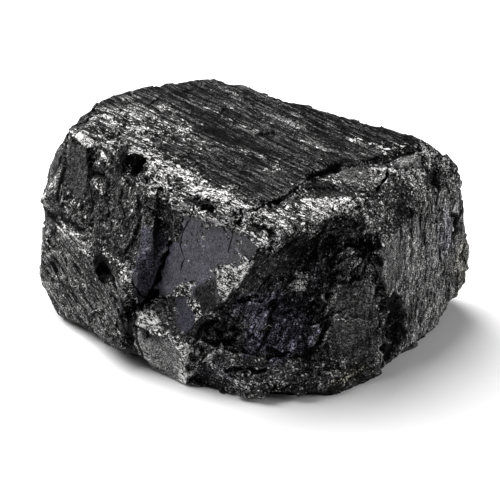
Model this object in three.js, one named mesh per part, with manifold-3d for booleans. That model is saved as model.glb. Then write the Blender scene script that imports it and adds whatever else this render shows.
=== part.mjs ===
// A rough lump of jet, the black gem form of fossil wood coal, as it breaks out of its seam: one natural piece.
// It is a block of about 92 x 70 x 42 mm, bounded by flat fractures, with chips knocked out of its edges.
// Millimetres, +Z up. The origin is on the resting face, under the centre of the lump's box.
import * as THREE from "three";
import { mergeVertices } from "three/addons/utils/BufferGeometryUtils.js";
import Module from "manifold-3d";

const BLANK = 200; // side of the cube that every block and chip is cleaved from
const HOLLOW_DETAIL = 2; // subdivisions of the icosahedron that a rounded hollow starts from

// A fracture is a flat face: the compass azimuth of its outward normal from +X towards +Y, the tilt of
// that normal above the horizon, both in degrees, and a point that the face passes through.
const fracture = (azimuth, tilt, ...point) => ({ azimuth, tilt, point: new THREE.Vector3(...point) });

// The faces of the block before its chips broke away.
const BLOCK = [
  fracture(-95, 86.5, 0, 0, 40), // bedding plane on top
  fracture(-72, 60, 0, -27.5, 38), // crushed lip of the front corner
  fracture(-126, 52, -12.5, -20.5, 38.6), // left lip
  fracture(-141, 12, -37, -10, 3), // lower left face
  fracture(-112, 0, 0, -32.5, 1), // front, beside the toe
  fracture(-93, 1, 6, -34, 1), // front
  fracture(-62, 5, 12, -33.2, 1), // front right
  fracture(-39, 4.5, 26, -22.4, 30), // right face
  fracture(-45, 44, 26.8, -21.4, 30.5), // right shoulder, front
  fracture(-12, 40, 43, -3, 34.5), // right shoulder, side
  fracture(8, 9, 47.2, 3, 25), // right edge, upper
  fracture(-5, -15, 47.2, 0, 14), // right edge, lower
  fracture(57.5, 12.5, -8, 29.2, 41.5), // back right
  fracture(35, 45, 36.8, -1.8, 40), // right corner
  fracture(105, 14, -8, 29, 41.5), // back
  fracture(122, 28, -27, 22.5, 41), // back left
  fracture(158, 21, -35.6, 17.1, 41), // left shoulder
  fracture(-155, 22, -40.3, 6, 28), // left strip
  fracture(180, 0, -45.2, 2, 20), // left edge
  fracture(-130, -40, -37, -10, 3), // left foot
  fracture(-165, -30, -44.5, 2, 4), // left foot, side
  fracture(-90, -42, 0, -34, 3.4), // front foot
  fracture(-40, -32, 40.7, -11.3, 5), // right foot
  fracture(60, -28, 20, 22, 8), // back right foot
  fracture(120, -25, -20, 28, 8), // back foot
  fracture(0, -90, 0, 0, 0), // resting face
];

// The toe, a wedge that stands out under the vitreous face.
const TOE = [
  fracture(-108, 64, -18.2, -17.6, 14.6), // top
  fracture(-126, -6, -12.8, -29.4, 10), // left side
  fracture(168, -16, -23.7, -21.5, 12), // left end
  fracture(-35, -4, -12.8, -29.2, 10), // right side
  fracture(90, 0, 0, -10, 0), // back, inside the block
  fracture(-110, -40, -13.5, -28.8, 1), // foot
  fracture(0, -90, 0, 0, 0.4), // underside
];

// The two overhanging faces that both chips of the alcove break down from.
const ALCOVE_WALL = fracture(-55, -28, 2.2, -31.4, 35.6);
const ALCOVE_ROOF = fracture(-95, -30, 19, -22.4, 36.3);

// The gentler face along the bottom of the alcove.
const ALCOVE_RIM = fracture(-88, 44, 8, -31.2, 4.6);

// The faces that each chip left behind where it broke off the block.
const CHIPS = {
  upperLeft: [
    fracture(-138, 33, -20, -8, 36.5), // face
    fracture(-172, 4, -16.5, -18, 30), // wall beside the vitreous face
  ],
  vitreous: [
    fracture(-130, 7, -14, -18, 34), // the vitreous face
    fracture(-65, -5, -16.9, -16.8, 26.5), // left wall, behind the crack
    fracture(-142, 33, -18.2, -17.6, 14.6), // ledge above the toe
    fracture(-112, 60, -18.2, -17.6, 14.3), // ledge, levelling out to the left
    fracture(-126, -40, -13, -20.6, 37), // underside of the left lip
  ],
  alcove: [
    ALCOVE_WALL,
    ALCOVE_ROOF,
    fracture(-150, -8, 25.3, -23, 32), // right wall
    fracture(-82, 24, 12, -31, 2), // slope
    ALCOVE_RIM,
  ],
  alcoveFloor: [
    ALCOVE_WALL,
    ALCOVE_ROOF,
    fracture(-92, 27, 6, -29, 3), // deeper slope
    ALCOVE_RIM,
    fracture(178, 14, 13.3, -25.5, 17), // furrow that bounds it
  ],
  frontSlab: [
    fracture(-70, 81.5, 16, -9.5, 38.9), // surface
    fracture(-47, 10, 5, -19.5, 39), // wall of the step, front
    fracture(-68, 10, 24, -5.2, 39.6), // wall of the step, back
  ],
  recess: [
    fracture(-5, 0, -19, -16, 30), // left side
    fracture(170, 0, -15, -16, 30), // right side
    fracture(-130, 25, -17, -16.6, 26.5), // back
    fracture(-130, -60, -17, -14, 37.5), // ceiling
  ],
  leftNotch: [
    fracture(-170, 45, -43.5, 3, 23.5), // floor
    fracture(-160, -60, -43.5, 3, 23.5), // roof
  ],
  backRight: [
    fracture(66, 2, 12, 18.5, 24), // face
    fracture(-20, 20, 2, 22, 24), // wall
    fracture(75, -50, 12, 18.5, 33), // underside
  ],
  backLeft: [
    fracture(140, 4, -30, 24.5, 24), // face
    fracture(112, -38, -29, 25, 34), // underside
    fracture(75, 10, -22, 27, 24), // wall
  ],
  backRim: [
    fracture(50, 30, -8.2, 29.5, 41.8), // towards the back corner
    fracture(63, 30, 10.6, 15.5, 41), // towards the right corner
  ],
};

// Rounded hollows: a centre, and the radii along X, Y and Z.
const HOLLOWS = [
  { centre: [-24, -3.5, 37.2], radii: [4.2, 3, 2.6] }, // pocket under the left lip
  { centre: [-30, -13.5, 17.5], radii: [1.9, 2, 2.1] }, // pit in the lower left face
  { centre: [-6.6, -25.4, 11], radii: [4.6, 3.4, 2.3] }, // gap at the right of the toe
  { centre: [29.8, -21.5, 10.8], radii: [2.8, 2.8, 5.4] }, // hollow in the right face
];

const wasm = await Module();
wasm.setup();

// The unit normal of a fracture.
function normalOf({ azimuth, tilt }) {
  const a = THREE.MathUtils.degToRad(azimuth);
  const t = THREE.MathUtils.degToRad(tilt);
  return new THREE.Vector3(Math.cos(t) * Math.cos(a), Math.cos(t) * Math.sin(a), Math.sin(t));
}

// A closed three.js geometry as a manifold-3d solid.
function solidOf(geometry) {
  const bare = geometry.clone();
  bare.deleteAttribute("normal");
  bare.deleteAttribute("uv");
  const merged = mergeVertices(bare);
  return new wasm.Manifold(
    new wasm.Mesh({
      numProp: 3,
      vertProperties: merged.attributes.position.array,
      triVerts: new Uint32Array(merged.index.array),
    }),
  );
}

// A manifold-3d solid as a three.js geometry.
function geometryOf(solid) {
  const mesh = solid.getMesh();
  const geometry = new THREE.BufferGeometry();
  geometry.setAttribute("position", new THREE.BufferAttribute(mesh.vertProperties, 3));
  geometry.setIndex(new THREE.BufferAttribute(mesh.triVerts, 1));
  geometry.computeVertexNormals();
  return geometry;
}

// The convex piece that is left of the blank when everything beyond each face has split away.
function cleave(faces) {
  let piece = solidOf(new THREE.BoxGeometry(BLANK, BLANK, BLANK));
  for (const face of faces) {
    const normal = normalOf(face);
    const waste = new THREE.BoxGeometry(2 * BLANK, 2 * BLANK, 2 * BLANK);
    waste.applyQuaternion(new THREE.Quaternion().setFromUnitVectors(new THREE.Vector3(0, 0, 1), normal));
    const middle = face.point.clone().addScaledVector(normal, BLANK);
    waste.translate(middle.x, middle.y, middle.z);
    piece = piece.subtract(solidOf(waste));
  }
  return piece;
}

// The void that a chip leaves: everything beyond all of its faces.
function chipOf(faces) {
  return cleave(faces.map(({ azimuth, tilt, point }) => ({ azimuth: azimuth + 180, tilt: -tilt, point })));
}

// A rounded hollow, as the ellipsoid that it takes out.
function hollowOf({ centre, radii }) {
  const ball = new THREE.IcosahedronGeometry(1, HOLLOW_DETAIL);
  ball.scale(...radii);
  ball.translate(...centre);
  return solidOf(ball);
}

let lump = cleave(BLOCK);
for (const faces of Object.values(CHIPS)) {
  lump = lump.subtract(chipOf(faces));
}
lump = lump.add(cleave(TOE));
for (const hollow of HOLLOWS) {
  lump = lump.subtract(hollowOf(hollow));
}

// The fractures are placed from a point near the middle of the block, so the finished lump is moved
// until the origin is under the centre of its box.
const geometry = geometryOf(lump);
geometry.computeBoundingBox();
const middle = geometry.boundingBox.getCenter(new THREE.Vector3());
geometry.translate(-middle.x, -middle.y, 0);

const stone = new THREE.Mesh(
  geometry,
  new THREE.MeshStandardMaterial({ color: 0x1b1b1e, roughness: 0.45, metalness: 0, flatShading: true }),
);
stone.name = "jet_stone";

const part = new THREE.Group();
part.add(stone);
export default part;
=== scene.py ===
"""The looks of a rough lump of raw jet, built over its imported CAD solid.

The CAD solid gives the broken outline. Over it this script grows a dense skin,
marks on the skin where each kind of fracture lies, raises the fine relief with
geometry nodes and dresses the result in one material.

Lengths are millimetres where a name ends in _mm or a docstring says so, and
metres everywhere else.
"""

from __future__ import annotations

import logging
import math
from dataclasses import dataclass
from enum import Enum
from typing import Iterable, Mapping, Sequence, Union

import bpy
import numpy as np
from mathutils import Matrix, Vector
from mathutils.bvhtree import BVHTree
from mathutils.kdtree import KDTree

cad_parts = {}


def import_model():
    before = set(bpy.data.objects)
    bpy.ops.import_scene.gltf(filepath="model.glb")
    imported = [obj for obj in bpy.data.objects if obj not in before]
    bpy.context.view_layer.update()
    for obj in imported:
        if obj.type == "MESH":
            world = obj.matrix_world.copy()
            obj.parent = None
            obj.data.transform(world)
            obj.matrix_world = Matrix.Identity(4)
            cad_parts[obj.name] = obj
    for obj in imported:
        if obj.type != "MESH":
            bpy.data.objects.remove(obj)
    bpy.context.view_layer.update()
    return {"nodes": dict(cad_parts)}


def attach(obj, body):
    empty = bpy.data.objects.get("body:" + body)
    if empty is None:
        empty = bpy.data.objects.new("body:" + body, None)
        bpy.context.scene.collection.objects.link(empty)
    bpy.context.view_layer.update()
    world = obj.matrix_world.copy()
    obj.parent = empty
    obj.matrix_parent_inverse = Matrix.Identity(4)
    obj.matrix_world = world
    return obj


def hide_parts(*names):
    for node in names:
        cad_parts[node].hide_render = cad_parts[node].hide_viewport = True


LOG = logging.getLogger("jet_stone")
MM = 0.001
NODE = "jet_stone"

Point = tuple[float, float, float]


# ==== Node graphs written as arithmetic ====


class Term:
    """A node output that can stand in arithmetic; each operator adds a node."""

    def __init__(self, graph: "Graph", socket: bpy.types.NodeSocket) -> None:
        """Wraps an output socket of a graph."""
        self.graph = graph
        self.socket = socket

    def _apply(self, operation: str, *values: "Operand") -> "Term":
        """Returns the result of one Math node."""
        return self.graph.math(operation, *values)

    def __add__(self, other: "Operand") -> "Term":
        """Returns this value plus another."""
        return self._apply("ADD", self, other)

    def __radd__(self, other: "Operand") -> "Term":
        """Returns a number plus this value."""
        return self._apply("ADD", other, self)

    def __sub__(self, other: "Operand") -> "Term":
        """Returns this value less another."""
        return self._apply("SUBTRACT", self, other)

    def __rsub__(self, other: "Operand") -> "Term":
        """Returns a number less this value."""
        return self._apply("SUBTRACT", other, self)

    def __mul__(self, other: "Operand") -> "Term":
        """Returns this value times another."""
        return self._apply("MULTIPLY", self, other)

    def __rmul__(self, other: "Operand") -> "Term":
        """Returns a number times this value."""
        return self._apply("MULTIPLY", other, self)

    def __abs__(self) -> "Term":
        """Returns this value without its sign."""
        return self._apply("ABSOLUTE", self)

    def at_least(self, floor: "Operand") -> "Term":
        """Returns the larger of this value and floor."""
        return self._apply("MAXIMUM", self, floor)

    def at_most(self, ceiling: "Operand") -> "Term":
        """Returns the smaller of this value and ceiling."""
        return self._apply("MINIMUM", self, ceiling)

    def clamped(self) -> "Term":
        """Returns this value held between 0 and 1."""
        return self.at_least(0.0).at_most(1.0)

    def exp(self) -> "Term":
        """Returns e to the power of this value."""
        return self._apply("EXPONENT", self)

    def step(self, low: float, high: float) -> "Term":
        """Returns a smooth rise from 0 at low to 1 at high."""
        return self.graph.rise(self, low, high)


Operand = Union[Term, float]
Socketed = Union[Term, float, Sequence[float], bpy.types.NodeSocket, str, bpy.types.ID]


class Graph:
    """Adds nodes to one node tree and wires them together."""

    def __init__(self, tree: bpy.types.NodeTree) -> None:
        """Takes the tree to add to."""
        self.tree = tree

    def feed(self, socket: bpy.types.NodeSocket, value: Socketed) -> None:
        """Links a term or output to an input, or sets a constant on the input.

        Args:
            socket: the input.
            value: what goes into it.
        """
        if isinstance(value, Term):
            self.tree.links.new(value.socket, socket)
        elif isinstance(value, bpy.types.NodeSocket):
            self.tree.links.new(value, socket)
        else:
            socket.default_value = value

    def node(
        self,
        kind: str,
        settings: Mapping[str, object] | None = None,
        inputs: Mapping[str | int, Socketed] | None = None,
    ) -> bpy.types.Node:
        """Adds one node.

        Args:
            kind: the node's type name.
            settings: attributes of the node, set before its sockets are used.
            inputs: socket names or numbers, each with a constant or a link.

        Returns:
            The new node.
        """
        made = self.tree.nodes.new(kind)
        for name, value in (settings or {}).items():
            setattr(made, name, value)
        for name, value in (inputs or {}).items():
            self.feed(made.inputs[name], value)
        return made

    def out(self, made: bpy.types.Node, name: str | int = 0) -> Term:
        """Returns one output of a node as a term."""
        return Term(self, made.outputs[name])

    def math(self, operation: str, *values: Operand) -> Term:
        """Adds a Math node over one, two or three values."""
        made = self.node("ShaderNodeMath", {"operation": operation}, dict(enumerate(values)))
        return self.out(made)

    def vector(self, operation: str, *values: Socketed, output: int = 0) -> Term:
        """Adds a Vector Math node over one or more vectors."""
        made = self.node("ShaderNodeVectorMath", {"operation": operation}, dict(enumerate(values)))
        return self.out(made, output)

    def dot(self, first: Socketed, second: Socketed) -> Term:
        """Returns the dot product of two vectors."""
        return self.vector("DOT_PRODUCT", first, second, output=1)

    def scaled(self, vector: Socketed, factor: Operand) -> Term:
        """Returns a vector times a number."""
        made = self.node("ShaderNodeVectorMath", {"operation": "SCALE"}, {0: vector, "Scale": factor})
        return self.out(made)

    def rise(self, value: Operand, low: Operand, high: Operand) -> Term:
        """Returns a smooth rise of a value from 0 at low to 1 at high."""
        sockets = {"Value": value, "From Min": low, "From Max": high}
        return self.out(self.node("ShaderNodeMapRange", {"interpolation_type": "SMOOTHSTEP"}, sockets))

    def blend(self, share: Operand, first: Socketed, second: Socketed) -> Term:
        """Mixes two colours.

        Args:
            share: 0 for the first, 1 for the second.
            first: a colour.
            second: another.

        Returns:
            The mixed colour.
        """
        # A Mix node has one set of sockets a type: 0 is the factor, 6 and 7 the colours.
        sockets = {0: share, 6: first, 7: second}
        made = self.node("ShaderNodeMix", {"data_type": "RGBA", "clamp_factor": True}, sockets)
        return self.out(made, 2)

    def noise(self, place: Socketed, size: float, detail: float = 2.0, roughness: float = 0.5) -> Term:
        """Makes fractal noise.

        Args:
            place: where it is read.
            size: how wide its lumps are, in the place's units.
            detail: how many finer layers it has.
            roughness: how strong those are.

        Returns:
            The noise, centred on 0.
        """
        sockets = {"Vector": place, "Scale": 1.0 / size, "Detail": detail, "Roughness": roughness}
        made = self.node("ShaderNodeTexNoise", None, sockets)
        return self.out(made) - 0.5

    def drift(self, place: Socketed, size: float, reach: float) -> Term:
        """Moves a place about by smooth noise, so that cells lose their straight sides.

        Args:
            place: the place.
            size: how wide the lumps of the noise are.
            reach: how far it moves a place.

        Returns:
            The moved place.
        """
        sockets = {"Vector": place, "Scale": 1.0 / size, "Detail": 2.0, "Roughness": 0.55}
        made = self.node("ShaderNodeTexNoise", None, sockets)
        centred = self.vector("SUBTRACT", made.outputs["Color"], (0.5, 0.5, 0.5))
        return self.vector("ADD", place, self.scaled(centred, reach))

    def facets(self, place: Socketed, size: float) -> tuple[Term, Term]:
        """Makes flat facets, each tilted its own way.

        Args:
            place: where they are read.
            size: how wide they are, about.

        Returns:
            Their height, and one random value a facet centred on 0.
        """
        cells = self.node("ShaderNodeTexVoronoi", {"feature": "F1"}, {"Vector": place, "Scale": 1.0 / size})
        away = self.vector("SUBTRACT", place, cells.outputs["Position"])
        lean = self.vector("SUBTRACT", cells.outputs["Color"], (0.5, 0.5, 0.5))
        return self.dot(away, lean), self.dot(lean, (0.6, 0.0, 0.4))

    def plates(self, place: Socketed, size: float) -> tuple[Term, Term, Term]:
        """Makes flat plates.

        Args:
            place: where they are read.
            size: how wide they are, about.

        Returns:
            Two random values a plate, from 0 to 1, and the distance to its rim as a share of size.
        """
        shared = {"Vector": place, "Scale": 1.0 / size}
        cells = self.node("ShaderNodeTexVoronoi", {"feature": "F1"}, shared)
        rims = self.node("ShaderNodeTexVoronoi", {"feature": "DISTANCE_TO_EDGE"}, shared)
        first = self.dot(cells.outputs["Color"], (1.0, 0.0, 0.0))
        second = self.dot(cells.outputs["Color"], (0.0, 1.0, 0.0))
        return first, second, self.out(rims, "Distance")

    def dashes(self, place: Socketed, size: float) -> Term:
        """Returns one random value a cell about size across, centred on 0."""
        cells = self.node("ShaderNodeTexVoronoi", {"feature": "F1"}, {"Vector": place, "Scale": 1.0 / size})
        return self.dot(cells.outputs["Color"], (1.0, 0.0, 0.0)) - 0.5


# ==== What lies where on the lump ====


class Mark(Enum):
    """Kinds of surface, each one number per vertex of the skin."""

    BEDDING = "mark_bedding"  # long streaks of the bedding face
    GRAIN = "mark_grain"  # wood grain plunging to the right
    UPRIGHT = "mark_upright"  # near-vertical streaks
    FURROW = "mark_furrow"  # furrows that run down to the left
    COARSE = "mark_coarse"  # blocky fracture
    CRUSH = "mark_crush"  # crushed, flaky, pale stone
    GLASS = "mark_glass"  # vitreous breaks
    SMOOTH = "mark_smooth"  # plain breaks with little grit
    TONE = "mark_tone"  # natural logarithm of the tone against plain stone
    VIOLET = "mark_violet"  # cool violet cast
    OLIVE = "mark_olive"  # faint olive stain
    CRACK = "mark_crack"  # open cracks
    SINK = "mark_sink"  # how deep the surface is sunk, in millimetres


# Their short names, for the lists of what lies where.
(
    BEDDING, GRAIN, UPRIGHT, FURROW, COARSE, CRUSH, GLASS, SMOOTH, TONE, VIOLET, OLIVE, CRACK, SINK,
) = Mark


@dataclass(frozen=True)
class Sheet:
    """How a straight-on drawing looks at the lump.

    Args:
        axes: the two axes it shows.
        facing: the way it faces.
        deep_mm: how far out that way the parts begin on which patches are laid.
        near_mm: the same for hairlines.
        least: how squarely a surface must face it to take a patch, from 0 to 1.
    """

    axes: tuple[int, int]
    facing: Point
    deep_mm: float
    near_mm: float
    least: float


class Drawing(Enum):
    """The straight-on drawings of the lump."""

    FRONT = Sheet((0, 2), (0.0, -1.0, 0.0), -20.0, 12.0, 0.1)
    TOP = Sheet((0, 1), (0.0, 0.0, 1.0), 33.5, 34.0, 0.4)
    LEFT = Sheet((1, 2), (-1.0, 0.0, 0.0), 0.0, 21.0, 0.1)
    RIGHT = Sheet((1, 2), (1.0, 0.0, 0.0), 0.0, 27.0, 0.1)


FRONT, TOP, LEFT, RIGHT = Drawing


def direction(azimuth: float, tilt: float) -> Vector:
    """Returns the unit vector at an azimuth from +X and a tilt above the horizon, in degrees."""
    a, t = math.radians(azimuth), math.radians(tilt)
    return Vector((math.cos(a) * math.cos(t), math.sin(a) * math.cos(t), math.sin(t)))


@dataclass(frozen=True)
class Zone:
    """The fractures that face one way and how they are marked.

    Args:
        name: what the zone is.
        azimuth: the way it faces, degrees from +X.
        tilt: how far it faces up, in degrees.
        marks: the level of each mark there; the others are 0.
    """

    name: str
    azimuth: float
    tilt: float
    marks: Mapping[Mark, float]

    def facing(self) -> Vector:
        """Returns the zone's outward direction."""
        return direction(self.azimuth, self.tilt)


def smooth(share: np.ndarray) -> np.ndarray:
    """Returns shares held between 0 and 1, with a soft start and end."""
    held = np.clip(share, 0.0, 1.0)
    return held * held * (3.0 - 2.0 * held)


@dataclass(frozen=True)
class Patch:
    """A facet or hollow outlined on a drawing of the lump.

    Args:
        name: what it is.
        drawing: the drawing it is outlined on.
        marks: the level of each mark inside; the others fade to 0.
        outline_mm: its corners in order, on that drawing.
        lean: how much deeper it gets per millimetre along the drawing's two axes.
        border_mm: the width over which its border fades.
        ragged_mm: how far its border wanders.
    """

    name: str
    drawing: Drawing
    marks: Mapping[Mark, float]
    outline_mm: Sequence[tuple[float, float]]
    lean: tuple[float, float] = (0.0, 0.0)
    border_mm: float = 0.7
    ragged_mm: float = 0.35

    def lay(self, levels: np.ndarray, places_mm: np.ndarray, normals: np.ndarray) -> None:
        """Puts the patch's marks over those already there.

        Args:
            levels: one row a vertex and one column a mark, changed in place.
            places_mm: the vertices' places.
            normals: their outward directions.
        """
        sheet: Sheet = self.drawing.value
        axes, facing = sheet.axes, np.array(sheet.facing)
        seen = np.flatnonzero((normals @ facing > sheet.least) & (places_mm @ facing > sheet.deep_mm))
        flat = wander(places_mm[seen], self.ragged_mm)[:, axes]
        corners = np.array(self.outline_mm, float)
        share = smooth(0.5 + self._depth_inside(flat, corners) / self.border_mm)
        inside = seen[share > 0.0]
        share = share[share > 0.0][:, None]
        row = np.tile([self.marks.get(mark, 0.0) for mark in Mark], (len(inside), 1))
        from_middle = places_mm[inside][:, axes] - corners.mean(0)
        row[:, list(Mark).index(SINK)] += from_middle @ np.array(self.lean)
        levels[inside] += (row - levels[inside]) * share
        LOG.debug("%s: %d vertices", self.name, len(inside))

    @staticmethod
    def _depth_inside(flat: np.ndarray, corners: np.ndarray) -> np.ndarray:
        """Measures how deep points lie inside an outline.

        Args:
            flat: the points, on the drawing.
            corners: the outline's corners, in order.

        Returns:
            Each point's distance to the outline, positive inside it.
        """
        nearest = np.full(len(flat), np.inf)
        within = np.zeros(len(flat), bool)
        for start, end in zip(corners, np.roll(corners, -1, axis=0)):
            along = end - start
            share = np.clip((flat - start) @ along / (along @ along), 0.0, 1.0)
            nearest = np.minimum(nearest, np.linalg.norm(flat - start - share[:, None] * along, axis=1))
            spans = (flat[:, 1] < start[1]) != (flat[:, 1] < end[1])
            rise = along[1] if along[1] else 1.0
            crossing = start[0] + (flat[:, 1] - start[1]) * along[0] / rise
            within ^= spans & (flat[:, 0] < crossing)
        return np.where(within, nearest, -nearest)


# How far beyond its width a wandering stroke is looked for.
STRAY_MM = 2.5
# The share of the way out of the surface that doesn't count in the distance to a stroke.
FLATTENED = 0.85


@dataclass(frozen=True)
class Stroke:
    """Marks laid along a line over the surface, or round one point.

    Args:
        marks: what it changes, and how much it adds at its middle.
        width_mm: the distance from the line at which it has faded out.
        ragged_mm: how far the line wanders to either side.
        line_mm: its points, on the lump.
    """

    marks: Mapping[Mark, float]
    width_mm: float
    ragged_mm: float
    line_mm: Sequence[Point]

    def lay(self, levels: np.ndarray, places_mm: np.ndarray, normals: np.ndarray) -> None:
        """Adds the stroke to the marks it changes.

        Args:
            levels: one row a vertex and one column a mark, changed in place.
            places_mm: the vertices' places.
            normals: their outward directions.
        """
        points = np.array(self.line_mm, float)
        reach = self.width_mm + STRAY_MM
        low, high = points.min(0) - reach, points.max(0) + reach
        near = np.flatnonzero(((places_mm > low) & (places_mm < high)).all(1))
        moved = wander(places_mm[near], self.ragged_mm)
        share = smooth(1.0 - self._gap(moved, normals[near], points) / self.width_mm)
        for mark, amount in self.marks.items():
            levels[near, list(Mark).index(mark)] += amount * share

    @staticmethod
    def _gap(places_mm: np.ndarray, normals: np.ndarray, points: np.ndarray) -> np.ndarray:
        """Measures distances to the line along the surface; the way out of it counts for little.

        Args:
            places_mm: the places.
            normals: the outward direction at each.
            points: the points of the line.

        Returns:
            The distance of each place.
        """
        nearest = np.full(len(places_mm), np.inf)
        for start, end in zip(points, points[1:] if len(points) > 1 else points):
            along = end - start
            share = np.clip((places_mm - start) @ along / max(along @ along, 1e-9), 0.0, 1.0)
            away = places_mm - start - share[:, None] * along
            out = (away * normals).sum(1)
            flat = away - FLATTENED * out[:, None] * normals
            nearest = np.minimum(nearest, np.linalg.norm(flat, axis=1))
        return nearest


@dataclass(frozen=True)
class Hairline:
    """A crack or a bright vein too fine for the mesh, drawn by the material.

    Args:
        width_mm: its width.
        tone: what it adds to the tone, or -1 to 0 for a crack, by how open it is.
        line_mm: its points in order, on the drawing that it is traced on.
    """

    width_mm: float
    tone: float
    line_mm: Sequence[tuple[float, float]]


ZONES: tuple[Zone, ...] = (
    Zone("bedding top", -95, 86.5, {BEDDING: 1.0, COARSE: 0.12, TONE: -0.7}),
    Zone("front slab", -70, 81.5, {BEDDING: 0.55, COARSE: 0.3, CRUSH: 0.42, TONE: 0.5}),
    Zone("front lip", -72, 60, {CRUSH: 1.0, COARSE: 0.5, TONE: 0.95}),
    Zone("left lip", -126, 52, {CRUSH: 0.8, COARSE: 0.5, TONE: 0.9}),
    Zone("upper left", -138, 33, {UPRIGHT: 0.8, COARSE: 0.5, CRUSH: 0.1, TONE: 0.35, SMOOTH: 0.35}),
    Zone("lower left", -141, 12, {GRAIN: 1.0, COARSE: 0.25, TONE: 0.9, SMOOTH: 0.3}),
    Zone("vitreous", -130, 7, {GLASS: 1.0, VIOLET: 0.9, TONE: 0.2}),
    Zone("vitreous wall", -65, -5, {GLASS: 0.9, VIOLET: 0.9, TONE: -0.1}),
    Zone("ledge", -142, 33, {GLASS: 0.3, CRUSH: 0.4, COARSE: 0.4, TONE: 0.1}),
    # The recess back is toned darker here as painted shade in the recess.
    Zone("recess back", -130, 25, {COARSE: 0.5, UPRIGHT: 0.5, VIOLET: 0.3, TONE: -0.4}),
    Zone("toe top", -108, 64, {GLASS: 0.3, CRUSH: 0.4, COARSE: 0.4, TONE: 0.1}),
    Zone("toe side", -126, -6, {GRAIN: 0.3, COARSE: 0.05, TONE: 1.7, SMOOTH: 0.95}),
    Zone("toe end", 168, -16, {GRAIN: 0.35, COARSE: 0.1, TONE: 0.6}),
    # The alcove's walls and roof are toned darker: painted shade under its overhang.
    Zone("alcove wall", -55, -28, {COARSE: 0.8, TONE: -0.1}),
    Zone("alcove roof", -95, -30, {COARSE: 0.9, TONE: -0.4}),
    Zone("alcove right wall", -150, -8, {COARSE: 0.8, TONE: -0.4}),
    Zone("alcove slope", -82, 24, {COARSE: 0.8, FURROW: 0.8, TONE: 0.4}),
    Zone("alcove floor", -92, 27, {COARSE: 0.9, FURROW: 0.8, VIOLET: 0.2, TONE: 0.55}),
    Zone("alcove rim", -88, 44, {COARSE: 0.8, CRUSH: 0.2, TONE: 0.3}),
    Zone("front beside the toe", -112, 0, {COARSE: 0.8, CRUSH: 0.25, TONE: 0.35}),
    Zone("front", -93, 1, {COARSE: 0.8, CRUSH: 0.15, TONE: 0.0}),
    Zone("front right", -62, 5, {COARSE: 0.8, CRUSH: 0.15, TONE: 0.3}),
    # The right face and its shoulder are toned paler: partly their own streaked grey stone, partly painted
    # light standing in for light from the right.
    Zone("right face", -39, 4.5, {UPRIGHT: 1.0, COARSE: 0.25, TONE: 1.45, SMOOTH: 0.62}),
    # Painted shade: the right hollow is toned darker.
    Zone("right hollow", -78, 7, {COARSE: 0.8, TONE: -1.0}),
    Zone("right shoulder front", -45, 44, {COARSE: 0.55, CRUSH: 0.35, UPRIGHT: 0.5, TONE: 0.7}),
    Zone("right shoulder side", -12, 40, {COARSE: 0.5, UPRIGHT: 0.6, TONE: 0.4}),
    Zone("right edge upper", 8, 9, {COARSE: 0.35, UPRIGHT: 0.8, TONE: 0.5}),
    Zone("right edge lower", -5, -15, {COARSE: 0.4, UPRIGHT: 0.6, TONE: 0.4}),
    Zone("back right", 57.5, 12.5, {COARSE: 0.6, UPRIGHT: 0.5}),
    Zone("right corner", 35, 45, {COARSE: 0.4, CRUSH: 0.4, TONE: 0.2}),
    Zone("back", 105, 14, {COARSE: 0.4, UPRIGHT: 0.8}),
    Zone("back left", 122, 28, {COARSE: 0.5, UPRIGHT: 0.4}),
    Zone("back break", 66, 2, {COARSE: 0.5, UPRIGHT: 0.6, SMOOTH: 0.2, TONE: 0.1}),
    Zone("back chip", 140, 4, {COARSE: 0.6, GRAIN: 0.4, TONE: 0.2}),
    Zone("left shoulder", 158, 21, {COARSE: 0.5, UPRIGHT: 0.5, TONE: 0.1}),
    Zone("left strip", -155, 22, {GRAIN: 0.6, COARSE: 0.2, TONE: 0.9, SMOOTH: 0.3}),
    Zone("left edge", 180, 0, {GRAIN: 0.8, COARSE: 0.2, TONE: 0.7}),
    Zone("left foot", -130, -40, {COARSE: 0.6, TONE: 0.1}),
    Zone("left foot side", -165, -30, {COARSE: 0.7}),
    # The front foot faces down under the overhang; its darker tone is painted shade.
    Zone("front foot", -90, -42, {COARSE: 0.8, TONE: -0.9}),
    Zone("right foot", -40, -32, {COARSE: 0.8}),
    Zone("back foot", 120, -25, {COARSE: 0.8}),
    Zone("resting face", 0, -90, {COARSE: 0.2}),
)

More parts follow.
